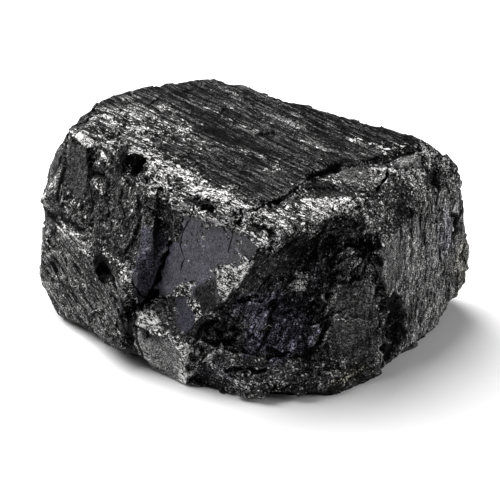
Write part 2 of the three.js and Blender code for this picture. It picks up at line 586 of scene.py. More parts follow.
PATCHES: tuple[Patch, ...] = (
    # The glassy breaks and what lies round them.
    Patch("main glass", FRONT, {GLASS: 1.1, VIOLET: 1.0, TONE: 0.42}, (
        (-14, 33), (-10.5, 34.5), (-7.5, 37.5), (-4, 35.5), (-5, 29), (-9, 24), (-12, 21), (-18, 17.5),
        (-17.3, 26), (-14.5, 28.5),
    )),
    Patch("right glass", FRONT, {GLASS: 1.0, VIOLET: 0.6, TONE: 0.35, SINK: 0.3}, (
        (-3.6, 35.8), (0.5, 35), (0.5, 33), (-1, 31), (-3, 30), (-5, 29),
    ), lean=(0.12, 0.0)),
    Patch("pale corner", FRONT, {CRUSH: 1.4, TONE: 1.3, SINK: -0.2}, (
        (-8, 26.5), (-5, 29), (-3.5, 28.5), (-2.5, 31.5), (0, 29.5), (-6, 20), (-7.5, 23.5),
    )),
    Patch("left strip", FRONT, {GLASS: 0.2, COARSE: 0.6, CRUSH: 0.3, TONE: -0.1, SINK: 0.4}, (
        (-15.7, 34.5), (-13.7, 33.5), (-14.7, 28.5), (-16.7, 27),
    ), lean=(0.3, 0.0), border_mm=0.5, ragged_mm=0.6),
    Patch("small upper glass", FRONT, {GLASS: 0.8, TONE: 0.0, SINK: 0.3}, (
        (-14.5, 38), (-12, 38.5), (-12.3, 35.3), (-14.7, 35),
    ), lean=(0.0, -0.2)),
    Patch("left violet glass", FRONT, {GLASS: 0.4, VIOLET: 0.8, TONE: 0.3, COARSE: 0.35}, (
        (-22.5, 29), (-19.5, 29), (-17.8, 26.5), (-19.2, 20.5), (-20.2, 16), (-21.2, 14), (-24, 18),
        (-24, 22), (-23, 25.5),
    ), lean=(0.15, 0.0)),
    # Painted shade: the recess is toned dark.
    Patch("recess", FRONT, {COARSE: 1.0, UPRIGHT: 0.4, TONE: -1.15, SINK: 0.3}, (
        (-20.8, 35), (-15.5, 38.5), (-16, 34.5), (-16.8, 30), (-18.3, 29.6), (-20.5, 31.5),
    ), border_mm=1.6, ragged_mm=1.0),
    Patch("dark facet under the pale corner", FRONT, {GLASS: 0.25, COARSE: 0.5, SMOOTH: 0.4, TONE: -0.7}, (
        (-12.5, 20.3), (-9.5, 22.5), (-7.6, 23.3), (-7, 20.5), (-8, 15.5), (-10.5, 17),
    ), border_mm=0.5, ragged_mm=0.6),
    Patch("crumbling foot of the deep crack", FRONT, {COARSE: 0.9, CRUSH: 0.45, TONE: 0.0}, (
        (-26.2, 18.6), (-24.8, 19.2), (-23.9, 16.2), (-23.8, 13.2), (-24.1, 10.6), (-26, 10.8),
        (-26.7, 13.8), (-26.7, 16),
    ), border_mm=0.6, ragged_mm=0.8),
    # The toe.
    Patch("crumbling toe corner", FRONT, {CRUSH: 1.3, TONE: 1.5, SINK: -0.3}, (
        (-24.5, 11), (-23, 13), (-20.5, 13), (-18.5, 12), (-21, 11.2),
    )),
    Patch("glassy toe top", FRONT, {GLASS: 0.9, VIOLET: 0.8, TONE: 0.4}, (
        (-16, 16.5), (-13.5, 17.3), (-11.5, 15.5), (-13, 11.5), (-15.5, 12.5),
    )),
    Patch("toe side", FRONT, {GRAIN: 0.25, COARSE: 0.0, TONE: 2.05, SMOOTH: 0.95}, (
        (-24.5, 10.5), (-15, 9.3), (-14, 0), (-20, 0), (-24, 4.5),
    ), border_mm=0.9, ragged_mm=0.8),
    Patch("gap beside the toe", FRONT, {COARSE: 0.9, TONE: 0.5, SINK: -1.6}, (
        (-12, 10.5), (-10, 11), (-6, 12), (-4.5, 10.5), (-5.5, 8.5), (-11, 7.5),
    ), border_mm=1.9, ragged_mm=1.5),
    # The left faces.
    # A painted highlight: the bevel is toned near white where the light glances off it.
    Patch("painted highlight on the bevel", FRONT, {CRUSH: -0.4, TONE: 4.1, SINK: -0.2, SMOOTH: 1.0, GLASS: 0.3}, (
        (-37.9, 36.3), (-37.8, 36.8), (-36.6, 37.9), (-35.3, 38.4), (-34.6, 37.9), (-33.4, 37.2),
        (-33.6, 36.5), (-34.8, 35.7), (-36.3, 35.9),
    ), border_mm=0.3, ragged_mm=0.2),
    Patch("dark break over the bevel", FRONT, {COARSE: 0.9, TONE: -1.6, SINK: 0.4}, (
        (-35, 39.7), (-32.3, 40.4), (-30, 40.2), (-29, 39.7), (-31.2, 39), (-34, 38.7),
    ), border_mm=0.5, ragged_mm=0.5),
    Patch("dark break right of the bevel", FRONT, {COARSE: 0.9, TONE: -1.6, SINK: 0.5}, (
        (-35, 35.6), (-32.8, 37.4), (-32.5, 36.8), (-33.1, 35.2), (-33.5, 34), (-33.2, 33.2), (-31.3, 33.4),
        (-31.2, 32.6), (-33.8, 31.2), (-34.3, 31.5), (-34.1, 34.3), (-34.9, 35.1),
    ), border_mm=0.8, ragged_mm=0.7),
    Patch("plain left slab", FRONT, {UPRIGHT: 0.35, TONE: 0.55, COARSE: 0.0, SMOOTH: 0.95}, (
        (-39.6, 35.1), (-36.2, 35.6), (-34.9, 35), (-34.2, 33.8), (-34.5, 31.3), (-35.1, 28.9),
        (-36.4, 27.5), (-38.9, 27.5), (-40, 30.4), (-39.8, 32.8),
    ), border_mm=0.4, ragged_mm=0.25),
    Patch("bright sliver along the left edge", FRONT, {UPRIGHT: 0.8, TONE: 1.5, SMOOTH: 0.4}, (
        (-39.8, 31.4), (-40.5, 29.2), (-41.4, 27), (-42.1, 25), (-43.7, 22.9), (-44.8, 21.4), (-45.4, 22.4),
        (-44.6, 24.3), (-43, 27.5), (-41.5, 30.1),
    ), border_mm=0.4),
    Patch("dark facet of the sliver", FRONT, {COARSE: 0.3, TONE: 0.1, SMOOTH: 0.6}, (
        (-41.5, 33.5), (-40.5, 33.9), (-40.3, 32.2), (-41.3, 30), (-42.6, 28.3), (-42.9, 29.5),
    ), border_mm=0.4),
    Patch("pale flakes left of the bevel", FRONT, {CRUSH: 0.9, TONE: 0.8}, (
        (-39.8, 36.6), (-38.2, 37.6), (-38, 35.8), (-39.6, 35.3),
    ), border_mm=0.5),
    # Painted shade: the pocket is toned near black, and its floor raised.
    Patch("pocket", FRONT, {COARSE: 1.0, TONE: -2.2, SINK: -0.6}, (
        (-28.9, 36.6), (-27.6, 37.9), (-25.2, 39), (-22.3, 39.4), (-20.4, 38.6), (-19.6, 37.2),
        (-21.2, 36.4), (-22.6, 35.6), (-24.6, 34.5), (-26, 34.8), (-27.6, 34.9), (-28.3, 35.7),
    ), border_mm=1.1, ragged_mm=1.0),
    # Painted shade: the pit is toned near black.
    Patch("pit", FRONT, {COARSE: 1.0, TONE: -2.3, SINK: -0.2}, (
        (-33.5, 20.2), (-31.5, 21.4), (-29.9, 20.3), (-28.7, 19.4), (-28.6, 17.8), (-29.8, 16.8),
        (-32.6, 17),
    ), border_mm=0.4, ragged_mm=0.5),
    # The alcove.
    # Painted shade on the roof of the alcove.
    Patch("dark roof of the alcove", FRONT, {COARSE: 0.9, FURROW: 1.0, TONE: -0.3}, (
        (1.5, 32), (7, 33.5), (12.5, 35), (17, 36), (23, 32.5), (26.8, 28.5), (21, 25.5), (11, 24.5),
        (4, 27),
    ), border_mm=1.6),
    Patch("violet break", FRONT, {COARSE: 0.8, FURROW: 0.6, VIOLET: 0.7, TONE: 0.8, SMOOTH: 0.25}, (
        (-3.5, 17.5), (3, 18.5), (7, 17), (12.3, 13.5), (10, 8), (4, 7), (-2, 8.5),
    ), border_mm=2.6, ragged_mm=1.6),
    Patch("pale crumbs", FRONT, {CRUSH: 1.0, TONE: 0.5}, (
        (8.3, 22.5), (10.7, 21.5), (10, 18.5), (6, 18.8), (8.3, 20.5),
    )),
    Patch("grey plates", FRONT, {COARSE: 0.4, UPRIGHT: 0.3, TONE: 0.7, SMOOTH: 0.6}, (
        (17, 19.5), (23, 21), (24.5, 13), (23.5, 6.5), (15, 8.5), (15, 13),
    ), border_mm=1.0),
    # The right face.
    # Painted shade: the right hollow is toned dark as well as sunk.
    Patch("right hollow", FRONT, {COARSE: 1.0, TONE: -1.5, SINK: 0.8}, (
        (25.2, 17), (28.7, 17.2), (30.7, 11), (31.5, 5.5), (27, 1.5), (25.6, 6.5), (25, 11.5),
    )),
    Patch("pillar left of the hollow", FRONT, {COARSE: 0.5, TONE: 0.3}, (
        (23.5, 11.5), (25.5, 11.5), (26, 7), (24, 6.5),
    )),
    Patch("pale face beside the alcove", FRONT, {UPRIGHT: 0.6, TONE: 1.35, SMOOTH: 0.3}, (
        (24.7, 31), (28.5, 30.5), (29.7, 22.5), (28, 17.5), (26, 18.5), (24.7, 24.5),
    ), border_mm=1.4),
    Patch("pale band of the right face", FRONT, {UPRIGHT: 0.9, TONE: 1.3, COARSE: 0.15, SMOOTH: 0.2}, (
        (32.5, 34), (36, 33.5), (37.5, 28), (34.5, 23.5), (32, 26),
    ), border_mm=1.6),
    # The lip of the top and the crevice under it.
    Patch("streaky flakes of the lip", TOP, {BEDDING: 1.0, CRUSH: 0.5, COARSE: 0.5, TONE: 1.0}, (
        (-21.5, -7), (-13, -11.5), (-9.3, -16.5), (-8.5, -20.5), (-14, -22), (-17.5, -17.5), (-21.5, -10),
    ), border_mm=0.9, ragged_mm=0.8),
    Patch("grey facet between the flakes", TOP, {COARSE: 0.7, TONE: -0.6, SINK: 0.3}, (
        (-17.9, -13.1), (-15, -13.9), (-14.4, -17), (-16.6, -17.2),
    ), border_mm=0.5, ragged_mm=0.6),
    # Painted shade: the crevice under the lip is toned near black.
    Patch("crevice under the lip", TOP, {COARSE: 1.0, TONE: -2.3, SINK: 0.9}, (
        (-12.6, -18.9), (-10.6, -19.6), (-8.6, -20.8), (-7.6, -23.4), (-7.7, -26.2), (-9, -25.8),
        (-10.7, -23.7), (-11.9, -21.3),
    ), border_mm=0.5, ragged_mm=0.9),
    Patch("plain facet in the crevice", TOP, {COARSE: 0.2, TONE: 0.3, SMOOTH: 0.7, SINK: 0.4}, (
        (-7.6, -22.4), (-5, -23.2), (-4.8, -27.2), (-6.9, -26.3),
    ), border_mm=0.4),
    # Painted shade in the hole beside the facet.
    Patch("hole beside the facet", TOP, {COARSE: 1.0, TONE: -2.4, SINK: 1.0}, (
        (-4.7, -23.8), (-1, -24.5), (-1.6, -27), (-2.8, -28.2), (-4.4, -27.6),
    ), border_mm=0.5, ragged_mm=0.7),
    # The top.
    Patch("flaky left of the top", TOP, {BEDDING: 1.0, CRUSH: 0.38, COARSE: 0.25, TONE: 0.8}, (
        (-38, 10), (-33, 14), (-26.5, 17), (-17, 15), (-11.5, 5), (-15.5, 0.5), (-22, -5), (-30, 1),
    ), border_mm=4.0, ragged_mm=1.5),
    Patch("dark facet of the slab", TOP, {BEDDING: 0.5, COARSE: 0.4, TONE: -0.3}, (
        (6, -15.5), (10, -13.8), (15, -13.5), (17.5, -18.5), (8.5, -20.5),
    )),
    Patch("plain facet of the slab", TOP, {COARSE: 0.15, CRUSH: 0.1, TONE: 1.2, SMOOTH: 0.6}, (
        (15.5, -10.5), (21.5, -8), (23, -12.5), (18, -14),
    )),
    Patch("pale facet of the right corner", TOP, {COARSE: 0.2, CRUSH: -0.5, TONE: 2.0, SMOOTH: 0.8}, (
        (28, -5.6), (29.5, -4.6), (32, -3.8), (33.6, -4.6), (33.4, -5.8), (32, -6.8), (29, -8),
    ), border_mm=0.5),
    Patch("crushed wedge", TOP, {CRUSH: 1.1, COARSE: 0.5, TONE: 1.1}, (
        (22.7, -8.3), (27.3, -9), (25.5, -14), (23, -13),
    )),
)

STROKES: tuple[Stroke, ...] = (
    # The long crack along the slab, widest over its middle.
    Stroke({CRACK: 0.85}, 0.8, 0.5, ((-4, -27.5, 38.5), (-1, -25, 38.5), (1.5, -23.5, 38.5), (5, -21, 38))),
    Stroke({CRACK: 0.8}, 0.9, 0.4, ((10.5, -14, 39.5), (14, -11.5, 39.5))),
    Stroke({CRACK: 1.1}, 1.7, 0.4, ((13, -12.3, 39.5), (15.4, -10, 39.5), (16.6, -9, 39.7))),
    Stroke({CRACK: 0.8}, 0.8, 0.4, ((26.6, -9.5, 38.6), (25.4, -13, 38.1), (24.3, -15.6, 37.4))),
    # The deep crack between the two glassy breaks, and the finer ones in them.
    Stroke({CRACK: 0.9}, 0.65, 0.4, (
        (-17, -19, 27), (-18.6, -18.8, 22.5), (-19.3, -18.8, 18.5), (-20.8, -19.5, 14.5),
        (-23, -20.5, 13.3),
    )),
    Stroke({CRUSH: 0.45}, 0.6, 0.4, ((-10.3, -24, 35), (-10, -24, 31), (-10.5, -24.5, 27))),
    # Pale rims round the glassy breaks.
    Stroke({CRUSH: 1.0}, 1.0, 0.5, ((-11.5, -24, 38.2), (-10, -24.5, 36), (-9.3, -25, 34.5))),
    Stroke({CRUSH: 1.0}, 0.8, 0.4, ((-9.5, -26, 38), (-7, -28, 37.6), (-4, -28.5, 36))),
    Stroke({CRUSH: 1.2}, 0.9, 0.4, ((-3.5, -29, 37.4), (-1, -31, 36), (0.5, -32.5, 35))),
    Stroke({CRUSH: 0.8}, 0.8, 0.5, ((-14.6, -21, 34.8), (-12.5, -22, 35), (-12.2, -23, 38))),
    Stroke({CRUSH: 1.1}, 1.0, 0.6, ((-20, -20, 14), (-18.5, -20, 14.7), (-15.5, -22, 18), (-12, -24, 21))),
    Stroke({TONE: 0.8}, 1.2, 0.5, (
        (-18.4, -19.2, 17), (-15, -22.2, 18.5), (-12.4, -24.2, 20), (-9.5, -25.9, 24.4),
    )),
    Stroke({CRUSH: 1.1}, 1.5, 0.6, ((-15, -22.5, 18.3), (-13, -23.5, 19.5))),
    Stroke({CRUSH: 1.0}, 0.8, 0.3, ((-6, -28, 20), (-3, -28.5, 24), (0, -30, 29), (0.6, -32.5, 33.5))),
    # The pocket and the pit, painted dark down to their ends as shade in the hollows.
    Stroke({TONE: -1.0}, 3.0, 1.4, ((-26.5, -1.5, 37), (-22.5, -4.8, 36.8))),
    Stroke({TONE: -1.5}, 1.3, 0.8, ((-29.8, -2.3, 34.4), (-27.5, -3.6, 35))),
    Stroke({TONE: -1.3}, 1.2, 0.8, ((-21.5, -8.5, 37), (-20, -10.8, 36.2))),
    Stroke({TONE: 1.5}, 1.0, 0.6, ((-24.9, -2.8, 39.3), (-23.4, -3.4, 38.2))),
    Stroke({TONE: 1.3}, 0.8, 0.5, ((-27.6, -3.2, 36.3), (-26.4, -3, 36))),
    Stroke({TONE: 1.2}, 0.8, 0.5, ((-21.6, -6.8, 38),)),
    Stroke({CRUSH: 1.0}, 0.9, 0.4, ((-29.2, -14.6, 14.9), (-28.4, -15.2, 15.4))),
    # The bright rim over the crevice.
    Stroke({CRUSH: 1.0}, 5.6, 1.4, (
        (-21, -7.5, 39.4), (-15.5, -11, 39.2), (-9, -18, 39), (-4.5, -22.5, 38.7), (-1, -25.8, 38.6),
    )),
    Stroke({TONE: 1.5}, 3.2, 1.0, (
        (-17, -10.5, 39.2), (-12, -15.5, 39.1), (-7, -20, 39), (-2.5, -24, 38.6),
    )),
    Stroke({CRUSH: 1.1}, 1.3, 0.8, ((-34.5, 7.5, 40), (-29.5, 1.5, 39.6), (-22, -6, 39.5))),
    Stroke({CRUSH: 0.9}, 1.4, 0.9, ((-23, -8.5, 35.7), (-19, -12.5, 36.7), (-16.5, -17, 38))),
    Stroke({TONE: 0.7}, 1.6, 0.9, ((-23, -8.5, 35.7), (-19, -12.5, 36.7), (-16.5, -17, 38))),
    # Feathered flakes between the bevel and the pocket, pale and dark by turns.
    Stroke({TONE: 1.3}, 0.8, 0.3, (
        (-32.2, 3, 38.2), (-30, 0.8, 37.9), (-28.6, -1, 37), (-27.9, -2.3, 35.9),
    )),
    Stroke({TONE: -1.2}, 0.7, 0.3, (
        (-32.4, 2.8, 37.3), (-30.3, 0.4, 37), (-29, -1.4, 36), (-28.3, -2.7, 34.9),
    )),
    Stroke({TONE: 1.3}, 0.8, 0.3, (
        (-32.6, 2.4, 36.4), (-30.6, 0, 36), (-29.3, -1.8, 35), (-28.7, -3.1, 33.9),
    )),
    Stroke({TONE: -1.0}, 0.7, 0.3, ((-32.6, 1.9, 35.4), (-30.9, -0.4, 35), (-29.8, -2.2, 34))),
    Stroke({TONE: 1.1}, 0.8, 0.3, ((-32.5, 1.3, 34.5), (-31, -0.8, 34.1), (-30, -2.4, 33.2))),
    Stroke({CRUSH: 0.9, TONE: 0.8}, 1.3, 0.5, ((-33.3, -1.3, 31.2), (-31.6, -3.6, 30.6))),
    Stroke({TONE: 1.0}, 1.4, 0.5, ((-41.2, 9, 33), (-42.4, 6, 28), (-44, 5, 23))),
    Stroke({TONE: -0.9}, 0.9, 0.4, ((-39.6, 6.5, 32), (-40.4, 4.5, 28.5), (-41.8, 2.5, 25))),
    Stroke({TONE: 0.7}, 2.2, 0.8, ((-41.5, -1.2, 20.5), (-37.3, -6.5, 21), (-34.3, -9.7, 21.3))),
    Stroke({CRUSH: 0.4}, 5.0, 2.5, ((-26, 6, 40.4), (-18, 3, 40.4), (-13, -3, 40))),
    Stroke({TONE: -1.9, SINK: 0.5}, 1.2, 0.7, (
        (-34.5, 8, 39.5), (-31.5, 6, 40.5), (-30.5, 4.5, 40), (-29, 3, 40),
    )),
    Stroke({TONE: 0.7}, 2.6, 1.2, ((-27, 18, 41), (-22.5, 20.5, 41), (-17, 23.5, 41.5))),
    # Crushed slab above the alcove, with a hole in it painted dark as shade.
    Stroke({CRUSH: 0.9}, 4.0, 1.6, ((0, -26.5, 37.6), (8, -24.5, 37.6), (16, -21.5, 37.8))),
    Stroke({CRUSH: 0.8}, 1.7, 0.9, (
        (13.5, -21.5, 37.5), (19.5, -20.5, 37), (22.5, -20, 35.5), (24.5, -20, 34),
    )),
    Stroke({TONE: 0.8}, 1.6, 0.9, (
        (13.5, -21.5, 37.5), (19.5, -20.5, 37), (22.5, -20, 35.5), (24.5, -20, 34),
    )),
    Stroke({TONE: 0.8}, 1.6, 0.9, ((20.5, 0.7, 40.2), (23, -1.5, 40), (26.5, -4.5, 39.8))),
    # Painted shade in the hole.
    Stroke({TONE: -3.2, SINK: 1.0}, 1.5, 0.8, ((0.5, -28, 37.5), (1.5, -29.5, 37), (3, -30.5, 36.5))),
    Stroke({CRUSH: 0.9}, 2.2, 1.2, ((20.5, 0.7, 40.2), (25, -2.5, 40), (29, -3.5, 39.7), (35, -2, 39))),
    Stroke({CRUSH: 0.8}, 2.2, 1.2, ((29, -10, 38), (35, -6, 37.5))),
    Stroke({CRUSH: 0.7}, 2.0, 1.2, ((7, -16, 39), (9.5, -19, 38.5), (16, -19.5, 37.6))),
    # Ridge of pale grit between the two left faces.
    Stroke({CRUSH: 1.0}, 1.9, 1.1, ((-41.5, -1.5, 21.5), (-37.5, -6.5, 21.5), (-34, -11.5, 19.8))),
    Stroke({CRUSH: 0.9}, 1.4, 0.9, ((-32.5, -11.5, 22.5), (-29.5, -14.5, 21.5), (-27.5, -17, 21.3))),
    Stroke({CRUSH: 0.8}, 1.2, 0.8, ((-26.5, -19, 21), (-25.2, -21, 19), (-24.5, -20.5, 15.5))),
    Stroke({CRUSH: 0.6}, 1.4, 0.8, ((-30, -14, 22), (-27, -17.5, 21.5), (-25.5, -20.5, 20.5))),
    Stroke({TONE: 0.8}, 1.3, 0.8, (
        (-31.5, -12, 22.5), (-30, -14, 22), (-27, -17.5, 21.5), (-25.5, -20.5, 20.5),
    )),
    Stroke({CRUSH: 0.6}, 1.8, 1.2, ((-38.5, -1, 27), (-37.5, -2.5, 24.5))),
    Stroke({TONE: -1.6}, 1.6, 0.5, ((-44.5, 3.5, 21.5), (-43.5, 3, 21.5), (-41, -1.5, 22.3))),
    Stroke({SINK: 1.6}, 1.8, 0.5, ((-45, 3.5, 21.5), (-43.5, 3, 21.5))),
    # Painted shade in the pit on the lower left face, which is sunk a little as well.
    Stroke({TONE: -1.9}, 2.2, 0.7, ((-31, -15, 18.6), (-29.3, -17, 18.1))),
    Stroke({SINK: 0.8}, 1.8, 0.7, ((-31, -15, 18.6), (-29.3, -17, 18.1))),
    Stroke({TONE: 0.9, CRUSH: 0.5}, 1.3, 0.6, (
        (-28.6, -18.4, 17.4), (-27.5, -19.9, 17), (-26.6, -21.3, 16.2),
    )),
    Stroke({CRUSH: 0.9}, 1.0, 0.5, ((-35.5, -12, 12),)),
    Stroke({CRUSH: 0.9}, 1.2, 0.5, ((-35.5, -12.5, 9.5), (-36.5, -11, 9.2))),
    Stroke({CRUSH: 0.9}, 1.1, 0.5, ((-28.5, -22, 7),)),
    Stroke({TONE: -1.8}, 1.1, 0.4, ((-24.6, -21.5, 12.5), (-24.9, -23, 9), (-24.2, -24.5, 4))),
    # Toe: pale ridge between its top and its side, and crumbs at its right.
    Stroke({CRUSH: 1.2}, 1.5, 0.7, ((-21, -25.5, 11.8), (-17.5, -28, 11.4), (-14, -30.5, 10.3))),
    Stroke({TONE: 0.8}, 1.6, 0.5, (
        (-24, -22.5, 12.6), (-21, -24.5, 12), (-17.5, -28, 11.4), (-14, -30.5, 10.3),
    )),
    Stroke({TONE: -1.3}, 1.6, 0.6, ((-21.8, -25.5, 10), (-19.3, -27.2, 9.8))),
    Stroke({CRUSH: 0.9}, 1.2, 0.8, ((-13, -24.5, 17.5), (-10.3, -28.5, 16.5))),
    Stroke({TONE: 0.8}, 1.2, 0.7, ((-12.8, -24.2, 19.8), (-13, -24.5, 17.5), (-10.3, -28.5, 16.5))),
    Stroke({CRUSH: 1.0, TONE: 0.6}, 1.5, 0.6, (
        (-10.8, -28.5, 16), (-9.2, -27.3, 15.2), (-7.7, -25.5, 13.5),
    )),
    # Furrows of the alcove.
    Stroke({TONE: -1.7, SINK: 1.1}, 1.5, 0.7, (
        (16.5, -21.5, 26), (15, -23, 22.5), (13.5, -25.5, 18), (12, -26.5, 16),
    )),
    Stroke({TONE: -1.7, SINK: 1.0}, 1.4, 0.7, (
        (14, -27.5, 13.5), (12.5, -29, 9.5), (9, -29, 6.5), (5, -29, 6),
    )),
    Stroke({CRUSH: 0.8}, 0.6, 0.3, ((1, -26.5, 11), (3, -26.3, 12))),
    Stroke({CRUSH: 0.8}, 0.6, 0.3, ((-0.5, -27.3, 9), (0.3, -27.5, 8))),
    Stroke({CRUSH: 0.8}, 2.2, 1.4, ((-3.5, -32.6, 4.2), (-1, -33, 3.2), (2.5, -33, 3.0))),
    Stroke({CRUSH: 0.9}, 1.2, 0.9, ((-14.2, -30.2, 5.5), (-14.6, -29.6, 1.5))),
    # Painted shade along the front foot.
    Stroke({TONE: -0.8}, 3.2, 2.0, ((-9, -31.5, 1.8), (-6, -32.5, 1.2))),
    Stroke({CRUSH: 0.9}, 1.8, 0.9, ((-13.4, -30, 8), (-13.6, -29.9, 4.5), (-14.2, -29.7, 1.5))),
    Stroke({TONE: 0.7}, 1.6, 0.9, ((-13.4, -30, 8), (-13.6, -29.9, 4.5), (-14.2, -29.7, 1.5))),
    # Painted shade under the rim of the alcove and along the foot below it, and a furrow across the violet
    # break.
    Stroke({TONE: -1.1}, 4.5, 1.8, ((6.5, -28, 33), (8, -24.5, 29.5), (10, -22, 26))),
    Stroke({TONE: -1.5}, 1.1, 0.8, ((4.2, -23.5, 18), (2.5, -25, 14.5), (2.3, -26.5, 11.5), (1, -28.5, 9))),
    Stroke({SINK: 0.5}, 1.2, 0.8, ((4.2, -23.5, 18), (2.5, -25, 14.5), (2.3, -26.5, 11.5), (1, -28.5, 9))),
    Stroke({TONE: -1.2}, 0.9, 0.8, ((9.5, -24.5, 16.5), (7.5, -26, 13), (6, -28.5, 9.5))),
    Stroke({TONE: -1.3}, 2.6, 1.0, ((3, -33, 0.5), (9, -33, 0.8), (16, -31, 0.8))),
    Stroke({VIOLET: 0.4}, 3.0, 1.0, ((-10, -31.5, 4), (-6, -32, 5))),
    # Bulge of the left shoulder, and the left edge, out over the notch and in below it.
    Stroke({SINK: -0.6}, 6.0, 0.5, ((-41, 9, 33), (-43, 6, 29))),
    Stroke({SINK: 2.8}, 5.5, 0.5, ((-37.5, 15, 41), (-37, 12.5, 41))),
    Stroke({SINK: -2.6}, 3.5, 0.5, ((-44.5, 4, 24), (-44.5, 2, 22.5))),
    Stroke({SINK: 3.6}, 5.0, 0.5, ((-46, 3, 17.5), (-45, 0, 17))),
    # Back rim of the top and the right shoulder, a little fuller.
    Stroke({SINK: -0.7}, 6.0, 0.5, ((-3, 20, 41.5), (6.5, 13.4, 41), (21.9, 4.9, 40.5), (29, 0, 40))),
    Stroke({SINK: -1.0}, 6.0, 0.5, ((36, -2, 38), (40, -2, 35))),
    # Broad tones: darker swaths along the bedding, paler ones beside them.
    Stroke({TONE: -0.55}, 4.5, 1.5, ((-18, 13.6, 40.8), (-9.2, 4.4, 40.3), (-1, -1.7, 40))),
    Stroke({TONE: 0.7}, 2.6, 1.2, ((-13.8, 17, 41.1), (-8.4, 11.8, 40.8), (-3, 6.3, 40.5), (4, 0.5, 40.3))),
    Stroke({TONE: 0.7}, 2.4, 1.0, ((-11.2, 0.4, 40.1), (-5, -2.4, 39.9), (1.5, -5.6, 39.8))),
    Stroke({TONE: 0.6}, 1.8, 0.8, ((-1, 13.4, 40.9), (4.3, 9.2, 40.7), (9.4, 5, 40.5))),
    Stroke({TONE: 0.8}, 1.5, 0.6, ((8.5, 1, 40.2), (11.9, -1.8, 40.1), (15.2, -4.6, 39.9))),
    Stroke({CRUSH: 0.6}, 1.8, 0.8, ((2, -11.2, 39.4), (5.6, -9.8, 39.5), (8.9, -11.3, 39.5))),
    Stroke({CRUSH: 0.55}, 2.2, 1.4, ((-21.2, -3.5, 39.8), (-15, -7.3, 39.6), (-7.9, -11.1, 39.4))),
    Stroke({TONE: 0.5}, 2.5, 1.0, ((-37.8, 10.5, 38.1), (-34.6, 14, 40), (-28.9, 17.1, 41))),
    Stroke({SINK: -0.4}, 5.0, 0.5, ((-45, 3, 8), (-44, -2, 8))),
    Stroke({SINK: -1.2}, 5.0, 0.5, ((-31, -17.5, 3.5), (-28.5, -20.5, 3.5))),
    Stroke({SINK: 2.6}, 5.0, 0.5, ((42, -6.5, 1.0), (43.5, -3, 3.0))),
    Stroke({SINK: -1.4}, 4.0, 0.5, ((43.5, -3.5, 9.5), (42.5, -5.5, 8.5))),
    Stroke({SINK: 1.0}, 1.8, 0.4, ((44.5, -2, 13.6), (43, -4.5, 13.2))),
    # Right edge: dark notch, pale and olive streaks.
    Stroke({TONE: -2.4}, 1.2, 0.6, ((41, -5, 25.5), (42, -4, 23), (42.5, -4, 21.5), (42, -4.5, 20))),
    Stroke({SINK: 0.9}, 1.4, 0.6, ((41, -5, 25.5), (42, -4, 23), (42.5, -4, 21.5), (42, -4.5, 20))),
    Stroke({TONE: -2.0}, 1.6, 1.0, (
        (33.8, -5.2, 37.6), (35, -6, 36), (36.5, -6.5, 35), (37.5, -7.5, 33.5),
    )),
    Stroke({CRUSH: 0.9, TONE: 0.9}, 1.3, 0.8, (
        (30, -9, 38), (31.5, -8, 37.5), (33.5, -7.5, 36.5), (32.5, -10, 35.5),
    )),
    Stroke({TONE: -0.8}, 2.5, 1.0, ((28.5, -11.5, 37), (31, -12, 35))),
    Stroke({TONE: -0.9}, 2.6, 1.2, ((12, -15.5, 38.7), (17.5, -16.5, 38), (18.5, -18.5, 37.5))),
    Stroke({SINK: 0.8}, 2.0, 0.9, ((36.8, -4.0, 36.6), (36.4, -6.8, 34.6))),
    Stroke({CRUSH: 0.8}, 1.6, 0.9, ((34.8, -3.2, 38.2), (38.4, -3.6, 35.4), (40.4, -3.8, 32.0))),
    Stroke({TONE: -1.2}, 1.4, 0.8, ((29.5, -15, 33.5), (28, -20.5, 30.5))),
    Stroke({TONE: 1.3}, 1.3, 0.5, ((43.5, -3, 16.5), (44.3, -2.7, 13.5), (43, -4, 11.5))),
    Stroke({VIOLET: 0.35}, 4.0, 1.0, ((39.8, -6.9, 25), (39.5, -7, 19))),
    Stroke({OLIVE: 0.45}, 4.0, 1.0, ((44.3, -2.6, 15), (43.5, -4, 9))),
    Stroke({OLIVE: 0.7}, 1.6, 0.6, ((15, -31, 3), (18, -30, 3), (21, -28.5, 3.5))),
    Stroke({CRUSH: 0.6}, 1.4, 0.6, ((15, -31, 3), (18, -30, 3), (21, -28.5, 3.5))),
)

